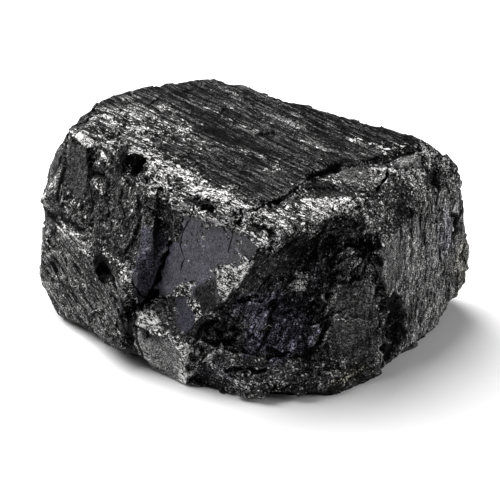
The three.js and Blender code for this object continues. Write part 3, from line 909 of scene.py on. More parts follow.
HAIRLINES: Mapping[Drawing, tuple[Hairline, ...]] = {
    FRONT: (
        # Cracks of the glassy break, down its left and its upper right.
        Hairline(0.24, -1.0, (
            (-11.8, 38.3), (-12.6, 34.6), (-14.2, 30.3), (-14.6, 28.1), (-13.9, 25.6), (-14.6, 22.8),
        )),
        Hairline(0.22, -0.9, ((-4.0, 36.7), (-4.7, 33.3), (-5.2, 30.9))),
        Hairline(0.15, 0.8, ((-9.4, 34.8), (-10.0, 32.5), (-10.7, 28.0))),
        Hairline(0.3, 1.7, ((-9.5, 38.5), (-9.4, 36.4), (-9.6, 34.6))),
        Hairline(0.22, 1.4, ((-8.3, 36.8), (-6.2, 37.4), (-4.2, 36.2))),
        # Bright edge between the glassy break and the alcove.
        Hairline(0.4, 1.4, ((-3.7, 32.4), (-2.7, 31.1), (-0.2, 30.3))),
        Hairline(0.45, 1.8, ((0.6, 33.6), (-0.3, 30.0), (-3.0, 25.5), (-6.0, 20.4))),
        # Crack that drops from the deep one to the lower left.
        Hairline(0.35, -1.0, ((-24.6, 19.5), (-23.1, 15.3), (-21.2, 13.8))),
        # The gap between the toe and the left foot.
        Hairline(0.55, -1.0, ((-24.4, 14.6), (-24.0, 11.2), (-23.6, 7.0), (-22.0, 2.4))),
        # Dark splits of the stone beside the toe.
        Hairline(0.35, -0.8, ((-28.4, 14.6), (-26.8, 10.8), (-25.6, 6.2))),
        Hairline(0.35, -0.8, ((-26.8, 15.2), (-25.6, 11.2), (-24.6, 6.6), (-23.2, 3.2))),
    ),
    TOP: (
        # Long bright splits of the bedding.
        Hairline(0.55, 1.5, ((-13.8, 17.0), (-8.4, 11.8), (-3.0, 6.3), (1.6, 2.6))),
        Hairline(0.5, 1.9, ((8.5, 1.0), (11.9, -1.8), (15.2, -4.6))),
        Hairline(0.5, 1.4, ((-1.0, 13.4), (4.3, 9.2), (9.4, 5.0))),
        Hairline(0.55, 1.5, ((-11.2, 0.4), (-5.0, -2.4), (1.5, -5.6))),
        Hairline(0.45, -0.6, ((-11.6, -0.6), (-5.4, -3.5), (1.0, -6.7))),
        Hairline(0.45, 1.2, ((-21.2, 9.5), (-13.0, 4.5), (-6.5, -0.2))),
        # The slab crack where it thins out, and its branches.
        Hairline(0.4, -0.9, ((17.5, -7.9), (20.5, -7.8), (23.5, -6.6), (26.3, -7.2))),
        Hairline(0.55, -1.0, ((25.8, -7.4), (28.6, -5.4), (31.5, -3.9), (33.5, -3.1))),
        Hairline(0.24, -0.7, ((5.2, -20.5), (8.4, -17.3), (10.8, -13.8))),
        Hairline(0.45, -0.9, ((26.8, -7.6), (26.4, -10.3), (25.4, -13.0), (24.3, -15.6))),
        # Steps of the slab.
        Hairline(0.3, -0.8, ((6.5, -16.2), (10.2, -14.2), (14.8, -13.9), (17.2, -16.0))),
        Hairline(0.35, -0.9, ((17.6, -14.2), (19.4, -16.6), (22.8, -17.6), (25.6, -15.8))),
        Hairline(0.35, 1.3, ((28.4, -5.9), (31.2, -4.0), (34.2, -3.4))),
        Hairline(0.35, 1.2, ((28.6, -9.4), (31.4, -7.4), (34.2, -6.3))),
        Hairline(0.3, 1.0, ((15.6, -10.8), (18.2, -13.6), (22.6, -13.2))),
    ),
    LEFT: (
        # Edges of the plain slab on the left and of the sliver beside it.
        Hairline(0.35, 1.2, ((8.7, 34.4), (7.2, 33.0), (5.9, 31.5))),
        Hairline(0.55, -1.0, ((5.6, 30.6), (4.1, 28.2), (2.9, 25.9), (2.0, 25.0))),
        Hairline(0.5, -1.0, ((7.9, 32.1), (6.9, 30.7), (6.8, 29.5), (7.0, 28.0))),
        Hairline(0.4, 1.3, ((5.8, 29.6), (5.3, 27.0), (5.3, 24.1), (5.7, 21.6))),
        Hairline(0.35, 1.2, ((6.6, 26.5), (6.4, 24.0), (6.3, 22.0))),
        Hairline(0.5, -1.0, ((4.9, 35.6), (3.9, 34.6), (2.5, 33.5), (0.3, 31.5))),
        # The notch in the left edge, and the fold that runs from it.
        Hairline(0.7, -1.0, ((6.3, 20.2), (4.0, 20.6), (2.5, 21.2), (2.7, 19.9), (2.2, 18.9))),
        Hairline(0.6, -1.0, ((1.6, 21.3), (-0.4, 21.0), (-2.5, 21.3))),
        Hairline(0.6, -1.0, ((-1.7, 22.5), (-4.7, 23.1), (-6.7, 22.8))),
        Hairline(0.4, 1.5, (
            (0.9, 25.3), (-0.1, 26.2), (-2.4, 26.3), (-3.3, 24.9), (-2.6, 23.7), (-0.3, 24.4),
        )),
        # Feathered flakes beside the pocket.
        Hairline(0.4, 1.8, ((2.1, 37.8), (0.1, 37.3), (-1.5, 36.5))),
        Hairline(0.35, 1.4, ((2.4, 37.4), (0.8, 36.8), (-0.9, 35.9))),
        Hairline(0.4, 1.5, ((2.4, 36.5), (0.7, 35.7), (-1.4, 34.6))),
        # Fine splits of the left faces.
        Hairline(0.35, -0.8, ((-3.6, 32.4), (-5.4, 30.0), (-7.8, 28.3), (-9.3, 26.3))),
        Hairline(0.35, -0.8, ((-2.2, 29.8), (-4.4, 28.0), (-5.7, 26.1))),
        Hairline(0.35, -0.8, ((-7.2, 32.6), (-8.8, 30.5), (-11.2, 28.8))),
        Hairline(0.4, -0.8, ((-10.7, 33.2), (-12.9, 31.2), (-14.5, 28.9))),
        Hairline(0.35, -0.8, ((-2.9, 18.0), (-6.9, 16.6), (-10.1, 13.9))),
        Hairline(0.35, -0.8, ((-8.8, 16.3), (-12.8, 14.5), (-15.7, 11.5))),
        Hairline(0.4, -0.8, ((-1.6, 11.7), (-4.8, 9.2), (-9.1, 7.0))),
        Hairline(0.35, -0.8, ((-12.3, 10.2), (-15.0, 9.0), (-19.0, 7.2))),
        Hairline(0.3, 1.0, ((-5.0, 14.0), (-9.0, 11.0), (-13.0, 7.5))),
    ),
    RIGHT: (
        # Fine splits of the right face, and the dark notch near its edge.
        Hairline(0.9, -1.0, ((-2.3, 26.0), (-3.5, 23.8), (-4.2, 21.0))),
        Hairline(0.5, -0.9, ((-6.5, 34.6), (-8.2, 32.7), (-9.2, 30.3))),
        Hairline(0.4, -0.8, ((-14.9, 32.4), (-16.9, 30.4), (-16.3, 26.3))),
        Hairline(0.4, -0.8, ((-12.1, 29.6), (-13.2, 26.3), (-12.8, 21.8))),
        Hairline(0.4, -0.8, ((-8.0, 24.8), (-9.0, 20.6), (-8.6, 16.2))),
        Hairline(0.35, -0.8, ((-19.2, 31.5), (-19.5, 28.3), (-20.8, 25.4))),
        Hairline(0.4, -0.8, ((-6.1, 33.2), (-5.1, 29.1), (-6.1, 26.1))),
        Hairline(0.35, 1.0, ((-6.9, 24.0), (-7.2, 21.0), (-6.6, 17.0))),
    ),
}


# ==== The skin grown over the CAD solid ====


def wander(places_mm: np.ndarray, reach_mm: float) -> np.ndarray:
    """Moves places about by a fixed sum of waves a few millimetres long.

    Args:
        places_mm: one place a row, in millimetres.
        reach_mm: the largest move along each axis.

    Returns:
        The moved places.
    """
    x, y, z = places_mm.T
    short = 0.6
    first = np.sin(1.31 * x + 0.7 * y - 0.9 * z) + short * np.sin(2.9 * y - 1.7 * x + 2.1 * z)
    second = np.sin(1.13 * y + 1.9 * z + 0.4) + short * np.sin(3.1 * x + 1.1 * z + 2.0)
    third = np.sin(1.47 * z - 0.8 * x + 1.3) + short * np.sin(2.7 * x + 2.3 * y + 0.5)
    return places_mm + np.stack((first, second, third), 1) * (reach_mm / (1.0 + short))


@dataclass
class Skin:
    """The dense mesh grown over the CAD solid, with its marks.

    Args:
        weld_mm: how near corners of the CAD solid lie that are one.
        voxel_mm: the spacing of the grown mesh.
        blur_passes: how often marks are averaged with their neighbours.
        edge_passes: the same for the places that edge wear is measured against.
        edge_mm: the rounding at which an edge counts as fully worn.
        zones: the fractures by the way they face.
        patches: the outlined facets and hollows.
        strokes: the marks along lines.
    """

    weld_mm: float = 0.002
    voxel_mm: float = 0.30
    blur_passes: int = 6
    edge_passes: int = 24
    edge_mm: float = 0.55
    zones: Sequence[Zone] = ZONES
    patches: Sequence[Patch] = PATCHES
    strokes: Sequence[Stroke] = STROKES

    def grow(self, cad: bpy.types.Object) -> bpy.types.Object:
        """Lays an even mesh over a copy of the CAD solid.

        Args:
            cad: the CAD solid.

        Returns:
            A new object.
        """
        seed = bpy.data.objects.new(NODE + "_skin", cad.data.copy())
        bpy.context.scene.collection.objects.link(seed)
        weld = seed.modifiers.new("weld", "WELD")
        weld.merge_threshold = self.weld_mm * MM
        remesh = seed.modifiers.new("remesh", "REMESH")
        remesh.mode = "VOXEL"
        remesh.voxel_size = self.voxel_mm * MM
        remesh.adaptivity = 0.0
        settle(seed)
        LOG.info("grown skin: %d faces", len(seed.data.polygons))
        return seed

    def mark(self, skin: bpy.types.Object, cad: bpy.types.Object) -> None:
        """Writes every mark, the edge wear and the push direction on the skin.

        Args:
            skin: the grown skin.
            cad: the CAD solid under it.
        """
        mesh = skin.data
        places = vectors_of(mesh.vertices, "co")
        normals = vectors_of(mesh.vertices, "normal")
        pairs = pairs_of(mesh)
        push = blurred(normals, pairs, self.blur_passes)
        push /= np.maximum(np.linalg.norm(push, axis=1), 1e-6)[:, None]
        levels = blurred(self._zone_levels(places, cad), pairs, self.blur_passes)
        for feature in (*self.patches, *self.strokes):
            feature.lay(levels, places / MM, push)
        for column, mark in enumerate(Mark):
            write_floats(mesh, mark.value, levels[:, column])
        write_floats(mesh, "mark_bulge", bulge_of(mesh, places, pairs, self.edge_passes, self.edge_mm))
        write_vectors(mesh, "mark_push", push)
        counts = (len(self.zones), len(self.patches), len(self.strokes))
        LOG.info("marked: %d zones, %d patches, %d strokes", *counts)

    def _zone_levels(self, places: np.ndarray, cad: bpy.types.Object) -> np.ndarray:
        """Finds the marks of the zone whose CAD fracture lies nearest each place.

        Args:
            places: one place a row.
            cad: the CAD solid.

        Returns:
            One row a place and one column a mark.
        """
        facings = np.array([zone.facing()[:] for zone in self.zones])
        table = np.array([[zone.marks.get(mark, 0.0) for mark in Mark] for zone in self.zones])
        faces = vectors_of(cad.data.polygons, "normal")
        zone_of_face = (faces @ facings.T).argmax(1)
        for zone, count in zip(self.zones, np.bincount(zone_of_face, minlength=len(self.zones))):
            LOG.debug("%s: %d CAD faces", zone.name, count)
        tree = BVHTree.FromPolygons(
            [v.co for v in cad.data.vertices], [p.vertices for p in cad.data.polygons]
        )
        nearest = [tree.find_nearest(Vector(place))[2] for place in places.tolist()]
        return table[zone_of_face[np.array(nearest)]]


def numbers_of(things: Iterable, name: str, width: int, kind: type) -> np.ndarray:
    """Reads a property of many mesh elements.

    Args:
        things: the elements.
        name: the property.
        width: how many numbers each has.
        kind: the type of number.

    Returns:
        One row an element.
    """
    flat = np.empty(len(things) * width, kind)
    things.foreach_get(name, flat)
    return flat.reshape(-1, width)


def vectors_of(things: Iterable, name: str) -> np.ndarray:
    """Returns a vector property of many mesh elements, one row each."""
    return numbers_of(things, name, 3, np.float32).astype(float)


def pairs_of(mesh: bpy.types.Mesh) -> np.ndarray:
    """Returns the two vertices of every edge, one row each."""
    return numbers_of(mesh.edges, "vertices", 2, np.int32)


def write_floats(mesh: bpy.types.Mesh, name: str, values: np.ndarray) -> None:
    """Writes one number per vertex as a named attribute."""
    made = mesh.attributes.get(name) or mesh.attributes.new(name, "FLOAT", "POINT")
    made.data.foreach_set("value", np.ascontiguousarray(values, np.float32))


def write_vectors(mesh: bpy.types.Mesh, name: str, values: np.ndarray) -> None:
    """Writes one vector per vertex as a named attribute."""
    made = mesh.attributes.get(name) or mesh.attributes.new(name, "FLOAT_VECTOR", "POINT")
    made.data.foreach_set("vector", np.ascontiguousarray(values, np.float32).ravel())


def blurred(values: np.ndarray, pairs: np.ndarray, passes: int) -> np.ndarray:
    """Averages values with their neighbours along edges.

    Args:
        values: one row a vertex.
        pairs: the two vertices of every edge.
        passes: how often.

    Returns:
        The averaged values.
    """
    count = len(values)
    values = values.copy()
    first, second = pairs.T
    degree = np.bincount(first, minlength=count) + np.bincount(second, minlength=count)
    for _ in range(passes):
        for column in range(values.shape[1]):
            line = values[:, column]
            total = np.bincount(first, line[second], count) + np.bincount(second, line[first], count)
            values[:, column] = 0.5 * line + 0.5 * total / np.maximum(degree, 1)
    return values


def bulge_of(
    mesh: bpy.types.Mesh, places: np.ndarray, pairs: np.ndarray, passes: int, full_mm: float
) -> np.ndarray:
    """Measures how far each vertex stands out (+) or lies in (-) against its surroundings.

    Args:
        mesh: the mesh.
        places: its vertices' places.
        pairs: the two vertices of every edge.
        passes: how often the surroundings are averaged, and so how wide they are.
        full_mm: the distance that counts as 1.

    Returns:
        One number a vertex.
    """
    normals = vectors_of(mesh.vertices, "normal")
    soft = blurred(places, pairs, passes)
    return ((places - soft) * normals).sum(1) / (full_mm * MM)


def settle(piece: bpy.types.Object) -> None:
    """Turns a piece's modifiers into its plain mesh.

    Args:
        piece: the piece.
    """
    graph = bpy.context.evaluated_depsgraph_get()
    made = bpy.data.meshes.new_from_object(piece.evaluated_get(graph), depsgraph=graph)
    piece.modifiers.clear()
    old = piece.data
    piece.data = made
    bpy.data.meshes.remove(old)


# ==== The fine relief ====

BEDDING_AXIS = direction(-43.0, 0.0)
GRAIN_AXIS = direction(-51.0, -22.0)
UPRIGHT_AXIS = direction(40.0, 82.0)
FURROW_AXIS = direction(46.0, 61.0)


def grain_place(place: Term, axis: Vector, stretch: float) -> Term:
    """Squeezes a place along an axis, so that whatever reads it runs long that way.

    Args:
        place: the place.
        axis: the way the grain runs.
        stretch: how many times longer than wide it is.

    Returns:
        The squeezed place.
    """
    graph = place.graph
    along = graph.dot(place, axis[:])
    shift = graph.scaled(tuple(axis), along * (1.0 / stretch - 1.0))
    return graph.vector("ADD", place, shift)


@dataclass(frozen=True)
class Fracture:
    """The broken facets that the relief raises and the material tones.

    Args:
        block_mm: the size of the large facets.
        chip_mm: the size of the small ones.
        loose_mm: the size of the lumps of noise that bend their sides.
        bend_mm: how far it bends them.
        second: how much larger the second set of facets is than the first.
        seed: which of the possible breaks it is.
    """

    block_mm: float = 6.5
    chip_mm: float = 2.6
    loose_mm: float = 3.0
    bend_mm: float = 2.2
    second: float = 1.3
    seed: float = 11.0

    def loosened(self, position: Term, seed: Operand) -> Term:
        """Turns a position into the place at which the facets are read.

        Args:
            position: a position in metres.
            seed: which of the possible breaks it is.

        Returns:
            The place in millimetres, moved about so that facets lose their straight sides.
        """
        graph = position.graph
        seeded = graph.scaled((1.0, -2.3, 3.7), seed)
        place = graph.vector("ADD", graph.scaled(position, 1.0 / MM), seeded)
        return graph.drift(place, self.loose_mm, self.bend_mm)

    def breaks(self, loose: Term, size: float) -> tuple[Term, Term, Term]:
        """Makes two sets of tilted facets that meet in sharp valleys.

        Args:
            loose: the place at which they are read.
            size: how wide the facets of the first set are.

        Returns:
            Their height, one random value a facet centred on 0, and the height by which
            the facet on top clears the other, 0 where they meet.
        """
        graph = loose.graph
        first, first_tone = graph.facets(loose, size)
        aside = graph.vector("ADD", loose, (31.7, -12.9, 23.3))
        second, second_tone = graph.facets(aside, size * self.second)
        upper = graph.math("GREATER_THAN", second, first)
        tone = first_tone + (second_tone - first_tone) * upper
        middle = 0.12 * size
        return first.at_least(second) - middle, tone, abs(first - second)


@dataclass(frozen=True)
class Ledge:
    """How the ledges along one grain are raised.

    Args:
        mark: where they lie.
        axis: the way they run.
        stretch: how many times longer than wide they are.
        share: their height, as a share of the relief's.
    """

    mark: Mark
    axis: Vector
    stretch: float
    share: float


LEDGES: tuple[Ledge, ...] = (
    Ledge(BEDDING, BEDDING_AXIS, 16.0, 0.35),
    Ledge(GRAIN, GRAIN_AXIS, 8.0, 0.8),
    Ledge(UPRIGHT, UPRIGHT_AXIS, 5.0, 0.8),
    Ledge(FURROW, FURROW_AXIS, 3.0, 1.2),
)


@dataclass(frozen=True)
class Relief:
    """The relief raised on the skin.

    Args:
        fracture: its facets.
        swell_mm: the height of the broad swells.
        swell_wide_mm: how wide they are.
        block_height: the height of the large facets, in their own units.
        chip_height: the same for the small ones.
        grit_mm: the size of the grit.
        grit_height: its height, in its own units.
        ledge_mm: the width of the narrow ledges.
        wide_ledge: how many times wider the wide ones are.
        ledge_height: their height, in their own units.
        wear_mm: how much comes off a sharp edge.
        bite_mm: how long the bites out of an edge are.
        crack_mm: how deep the open cracks are.
    """

    fracture: Fracture
    swell_mm: float = 1.5
    swell_wide_mm: float = 13.0
    block_height: float = 0.55
    chip_height: float = 0.20
    grit_mm: float = 1.15
    grit_height: float = 0.18
    ledge_mm: float = 1.5
    wide_ledge: float = 2.5
    ledge_height: float = 0.5
    wear_mm: float = 0.35
    bite_mm: float = 3.0
    crack_mm: float = 1.3

    def raise_on(self, skin: bpy.types.Object, material: bpy.types.Material) -> None:
        """Runs the relief over the skin and leaves a plain mesh.

        Args:
            skin: the marked skin.
            material: what it is dressed in.
        """
        sizes = {
            "Swell": self.swell_mm,
            "Block Height": self.block_height,
            "Chip Height": self.chip_height,
            "Grit Height": self.grit_height,
            "Ledge Height": self.ledge_height,
            "Wear": self.wear_mm,
            "Crack Depth": self.crack_mm,
            "Seed": self.fracture.seed,
        }
        tree, names = self._tree(sizes)
        modifier = skin.modifiers.new("relief", "NODES")
        modifier.node_group = tree
        for name, value in {**sizes, "Material": material}.items():
            modifier[names[name]] = value
        settle(skin)
        LOG.info("raised skin: %d faces", len(skin.data.polygons))

    def _tree(self, sizes: Iterable[str]) -> tuple[bpy.types.NodeTree, dict[str, str]]:
        """Builds the relief's node tree.

        Args:
            sizes: the names of its inputs that are numbers.

        Returns:
            The tree, and the identifier of each named input.
        """
        tree = bpy.data.node_groups.new("jet_relief", "GeometryNodeTree")
        graph = Graph(tree)
        kinds = {name: "NodeSocketFloat" for name in sizes}
        kinds = {"Geometry": "NodeSocketGeometry", **kinds, "Material": "NodeSocketMaterial"}
        names = {}
        for name, kind in kinds.items():
            made = tree.interface.new_socket(name, in_out="INPUT", socket_type=kind)
            names[name] = made.identifier
        tree.interface.new_socket("Geometry", in_out="OUTPUT", socket_type="NodeSocketGeometry")
        source = graph.node("NodeGroupInput")
        push = self._named(graph, "mark_push", "FLOAT_VECTOR")
        offset = graph.scaled(push, self._height(graph, source) * MM)
        note = {"Geometry": source.outputs["Geometry"], "Name": "mark_shift", "Value": offset}
        per_vertex = {"data_type": "FLOAT_VECTOR", "domain": "POINT"}
        noted = graph.node("GeometryNodeStoreNamedAttribute", per_vertex, note)
        moved = graph.node("GeometryNodeSetPosition", None, {"Geometry": noted.outputs[0], "Offset": offset})
        real = graph.node("GeometryNodeRealizeInstances", None, {"Geometry": moved.outputs[0]})
        dressing = {"Geometry": real.outputs[0], "Material": source.outputs["Material"]}
        dressed = graph.node("GeometryNodeSetMaterial", None, dressing)
        graph.node("NodeGroupOutput", None, {"Geometry": dressed.outputs[0]})
        return tree, names

    def _named(self, graph: Graph, name: str, kind: str = "FLOAT") -> Term:
        """Reads a named attribute of the skin."""
        made = graph.node("GeometryNodeInputNamedAttribute", {"data_type": kind}, {"Name": name})
        return graph.out(made, "Attribute")

    def _height(self, graph: Graph, source: bpy.types.Node) -> Term:
        """Adds up the relief.

        Args:
            graph: the graph to add to.
            source: the tree's input node.

        Returns:
            The outward move of each vertex, in millimetres.
        """

        def given(name: str) -> Term:
            """Returns one of the tree's inputs."""
            return graph.out(source, name)

        def level(mark: Mark) -> Term:
            """Returns the level of a mark."""
            return self._named(graph, mark.value)

        position = graph.out(graph.node("GeometryNodeInputPosition"))
        place = graph.scaled(position, 1.0 / MM)
        loose = self.fracture.loosened(position, given("Seed"))
        coarse, crush, glass = level(COARSE), level(CRUSH), level(GLASS)

        height = graph.noise(place, self.swell_wide_mm, 1.0) * given("Swell") * (1.0 - 0.6 * glass)
        blocks, _, _ = self.fracture.breaks(loose, self.fracture.block_mm)
        height = height + blocks * given("Block Height") * coarse
        chips, _, _ = self.fracture.breaks(loose, self.fracture.chip_mm)
        height = height + chips * given("Chip Height") * (coarse * 0.7 + crush * 0.7 + 0.12)
        grit, _ = graph.facets(graph.drift(place, 1.0, 0.6), self.grit_mm)
        height = height + grit * given("Grit Height") * (crush * 0.9 + coarse * 0.45 + 0.05)
        for ledge in LEDGES:
            squeezed = grain_place(loose, ledge.axis, ledge.stretch)
            wide, _ = graph.facets(squeezed, self.ledge_mm * self.wide_ledge)
            narrow, _ = graph.facets(squeezed, self.ledge_mm)
            steps = (wide * 0.5 + narrow) * given("Ledge Height")
            height = height + steps * level(ledge.mark) * ledge.share
        bulge = self._named(graph, "mark_bulge").at_least(0.0)
        bites = (graph.noise(place, self.bite_mm, 1.0) + 0.35).at_least(0.0)
        height = height - bulge * bites * given("Wear")
        crack = level(CRACK).clamped()
        return height - crack * given("Crack Depth") - level(SINK)


@dataclass(frozen=True)
class Finisher:
    """Brings the raised skin to its final mesh.

    Args:
        triangles: how many triangles the final mesh keeps.
        crease: the angle over which an edge is drawn sharp, in degrees.
        bulge_passes: how wide the near surroundings of a vertex are, in averagings.
        bulge_mm: how far one stands out of them at 1.
        shape_passes: the same for the wider surroundings.
        shape_mm: the same for them.
    """

    triangles: int = 194_000
    crease: float = 38.0
    bulge_passes: int = 5
    bulge_mm: float = 0.12
    shape_passes: int = 40
    shape_mm: float = 0.8

    def finish(self, skin: bpy.types.Object) -> None:
        """Thins the mesh, lays it on the ground and carries the marks over.

        Args:
            skin: the raised skin.
        """
        mesh = skin.data
        places = self._grounded(mesh)
        values = self._marks(mesh, places)
        shift = vectors_of(mesh.attributes["mark_shift"].data, "vector")
        for name in [a.name for a in mesh.attributes if a.name.startswith("mark_")]:
            mesh.attributes.remove(mesh.attributes[name])
        thin = skin.modifiers.new("thin", "DECIMATE")
        thin.use_collapse_triangulate = True
        thin.ratio = min(1.0, self.triangles / (2.0 * len(mesh.polygons)))
        settle(skin)
        mesh = skin.data
        nearest = self._nearest(places, self._grounded(mesh))
        for name, value in values.items():
            write_floats(mesh, name, value[nearest])
        write_vectors(mesh, "mark_shift", shift[nearest])
        mesh.shade_smooth()
        mesh.set_sharp_from_angle(angle=math.radians(self.crease))
        mesh.update()
        LOG.info("final skin: %d triangles", len(mesh.polygons))

    def _grounded(self, mesh: bpy.types.Mesh) -> np.ndarray:
        """Lifts what lies under the ground up to it.

        Args:
            mesh: the mesh, changed in place.

        Returns:
            Its vertices' places.
        """
        places = vectors_of(mesh.vertices, "co")
        places[:, 2] = np.maximum(places[:, 2], 0.0)
        mesh.vertices.foreach_set("co", places.astype(np.float32).ravel())
        mesh.update()
        return places

    def _marks(self, mesh: bpy.types.Mesh, places: np.ndarray) -> dict[str, np.ndarray]:
        """Gathers what the material reads.

        Args:
            mesh: the raised mesh.
            places: its vertices' places.

        Returns:
            One number a vertex for each attribute's name.
        """
        pairs = pairs_of(mesh)
        values = {}
        for mark in Mark:
            if mark is not SINK:
                read = numbers_of(mesh.attributes[mark.value].data, "value", 1, np.float32)
                values[mark.value] = read.ravel()
        # How far each vertex stands out, near and wide; the material turns these into painted shade in
        # hollows and paler edges and swells.
        values["mark_bulge"] = bulge_of(mesh, places, pairs, self.bulge_passes, self.bulge_mm)
        values["mark_shape"] = bulge_of(mesh, places, pairs, self.shape_passes, self.shape_mm)
        return values

    def _nearest(self, before: np.ndarray, after: np.ndarray) -> np.ndarray:
        """Finds for each place after thinning the nearest one before it.

        Args:
            before: the places before thinning.
            after: the places after it.

        Returns:
            The number of the nearest place, one for each place after thinning.
        """
        tree = KDTree(len(before))
        for number, place in enumerate(before.tolist()):
            tree.insert(place, number)
        tree.balance()
        return np.array([tree.find(place)[1] for place in after.tolist()])


# ==== The material ====


@dataclass(frozen=True)
class Streak:
    """How one direction of grain is drawn.

    Args:
        mark: where it lies.
        axis: the way it runs.
        stretch: how many times longer than wide its lines are.
        width_mm: the width of its finest lines.
        gain: how strongly it changes the tone.
        top: the level above which it gets no paler.
        dash: how strongly its separate dashes differ.
    """

    mark: Mark
    axis: Vector
    stretch: float
    width_mm: float
    gain: float
    top: float
    dash: float


STREAKS: tuple[Streak, ...] = (
    Streak(BEDDING, BEDDING_AXIS, 22.0, 0.28, 10.5, 0.17, 2.0),
    Streak(GRAIN, GRAIN_AXIS, 8.0, 0.27, 9.5, 0.06, 1.2),
    Streak(UPRIGHT, UPRIGHT_AXIS, 7.0, 0.28, 9.5, 0.06, 1.4),
    Streak(FURROW, FURROW_AXIS, 4.0, 0.50, 7.0, 0.10, 1.3),
)


@dataclass(frozen=True)
class Ground:
    """What the parts of the material share, each a term.

    Args:
        place: the place on the stone, in millimetres.
        rest: the place before the relief moved it, in metres.
        marks: the level of each mark.
        cloud: the widest noise.
        mottle: a narrower one.
        fleck: the finest one.
        coarse: how blocky the stone is.
        crush: where it is crushed.
        glass: where it is glassy.
        dull: where it isn't.
        rough: how gritty it is.
    """

    place: Term
    rest: Term
    marks: Mapping[Mark, Term]
    cloud: Term
    mottle: Term
    fleck: Term
    coarse: Term
    crush: Term
    glass: Term
    dull: Term
    rough: Term


@dataclass(frozen=True)
class Flakes:
    """The flakes of crushed stone, each a term.

    Args:
        plate: a random value a flake, from 0 to 1, for its tone.
        pick: another, for where the crushing ends.
        outline: 1 on a flake's rim.
        scale: a random value a small scale.
        inner: 0 on a scale's rim, 1 inside it.
        ridge: 1 on pale ridges between the flakes.
        gap: 1 in dark gaps between them.
    """

    plate: Term
    pick: Term
    outline: Term
    scale: Term
    inner: Term
    ridge: Term
    gap: Term


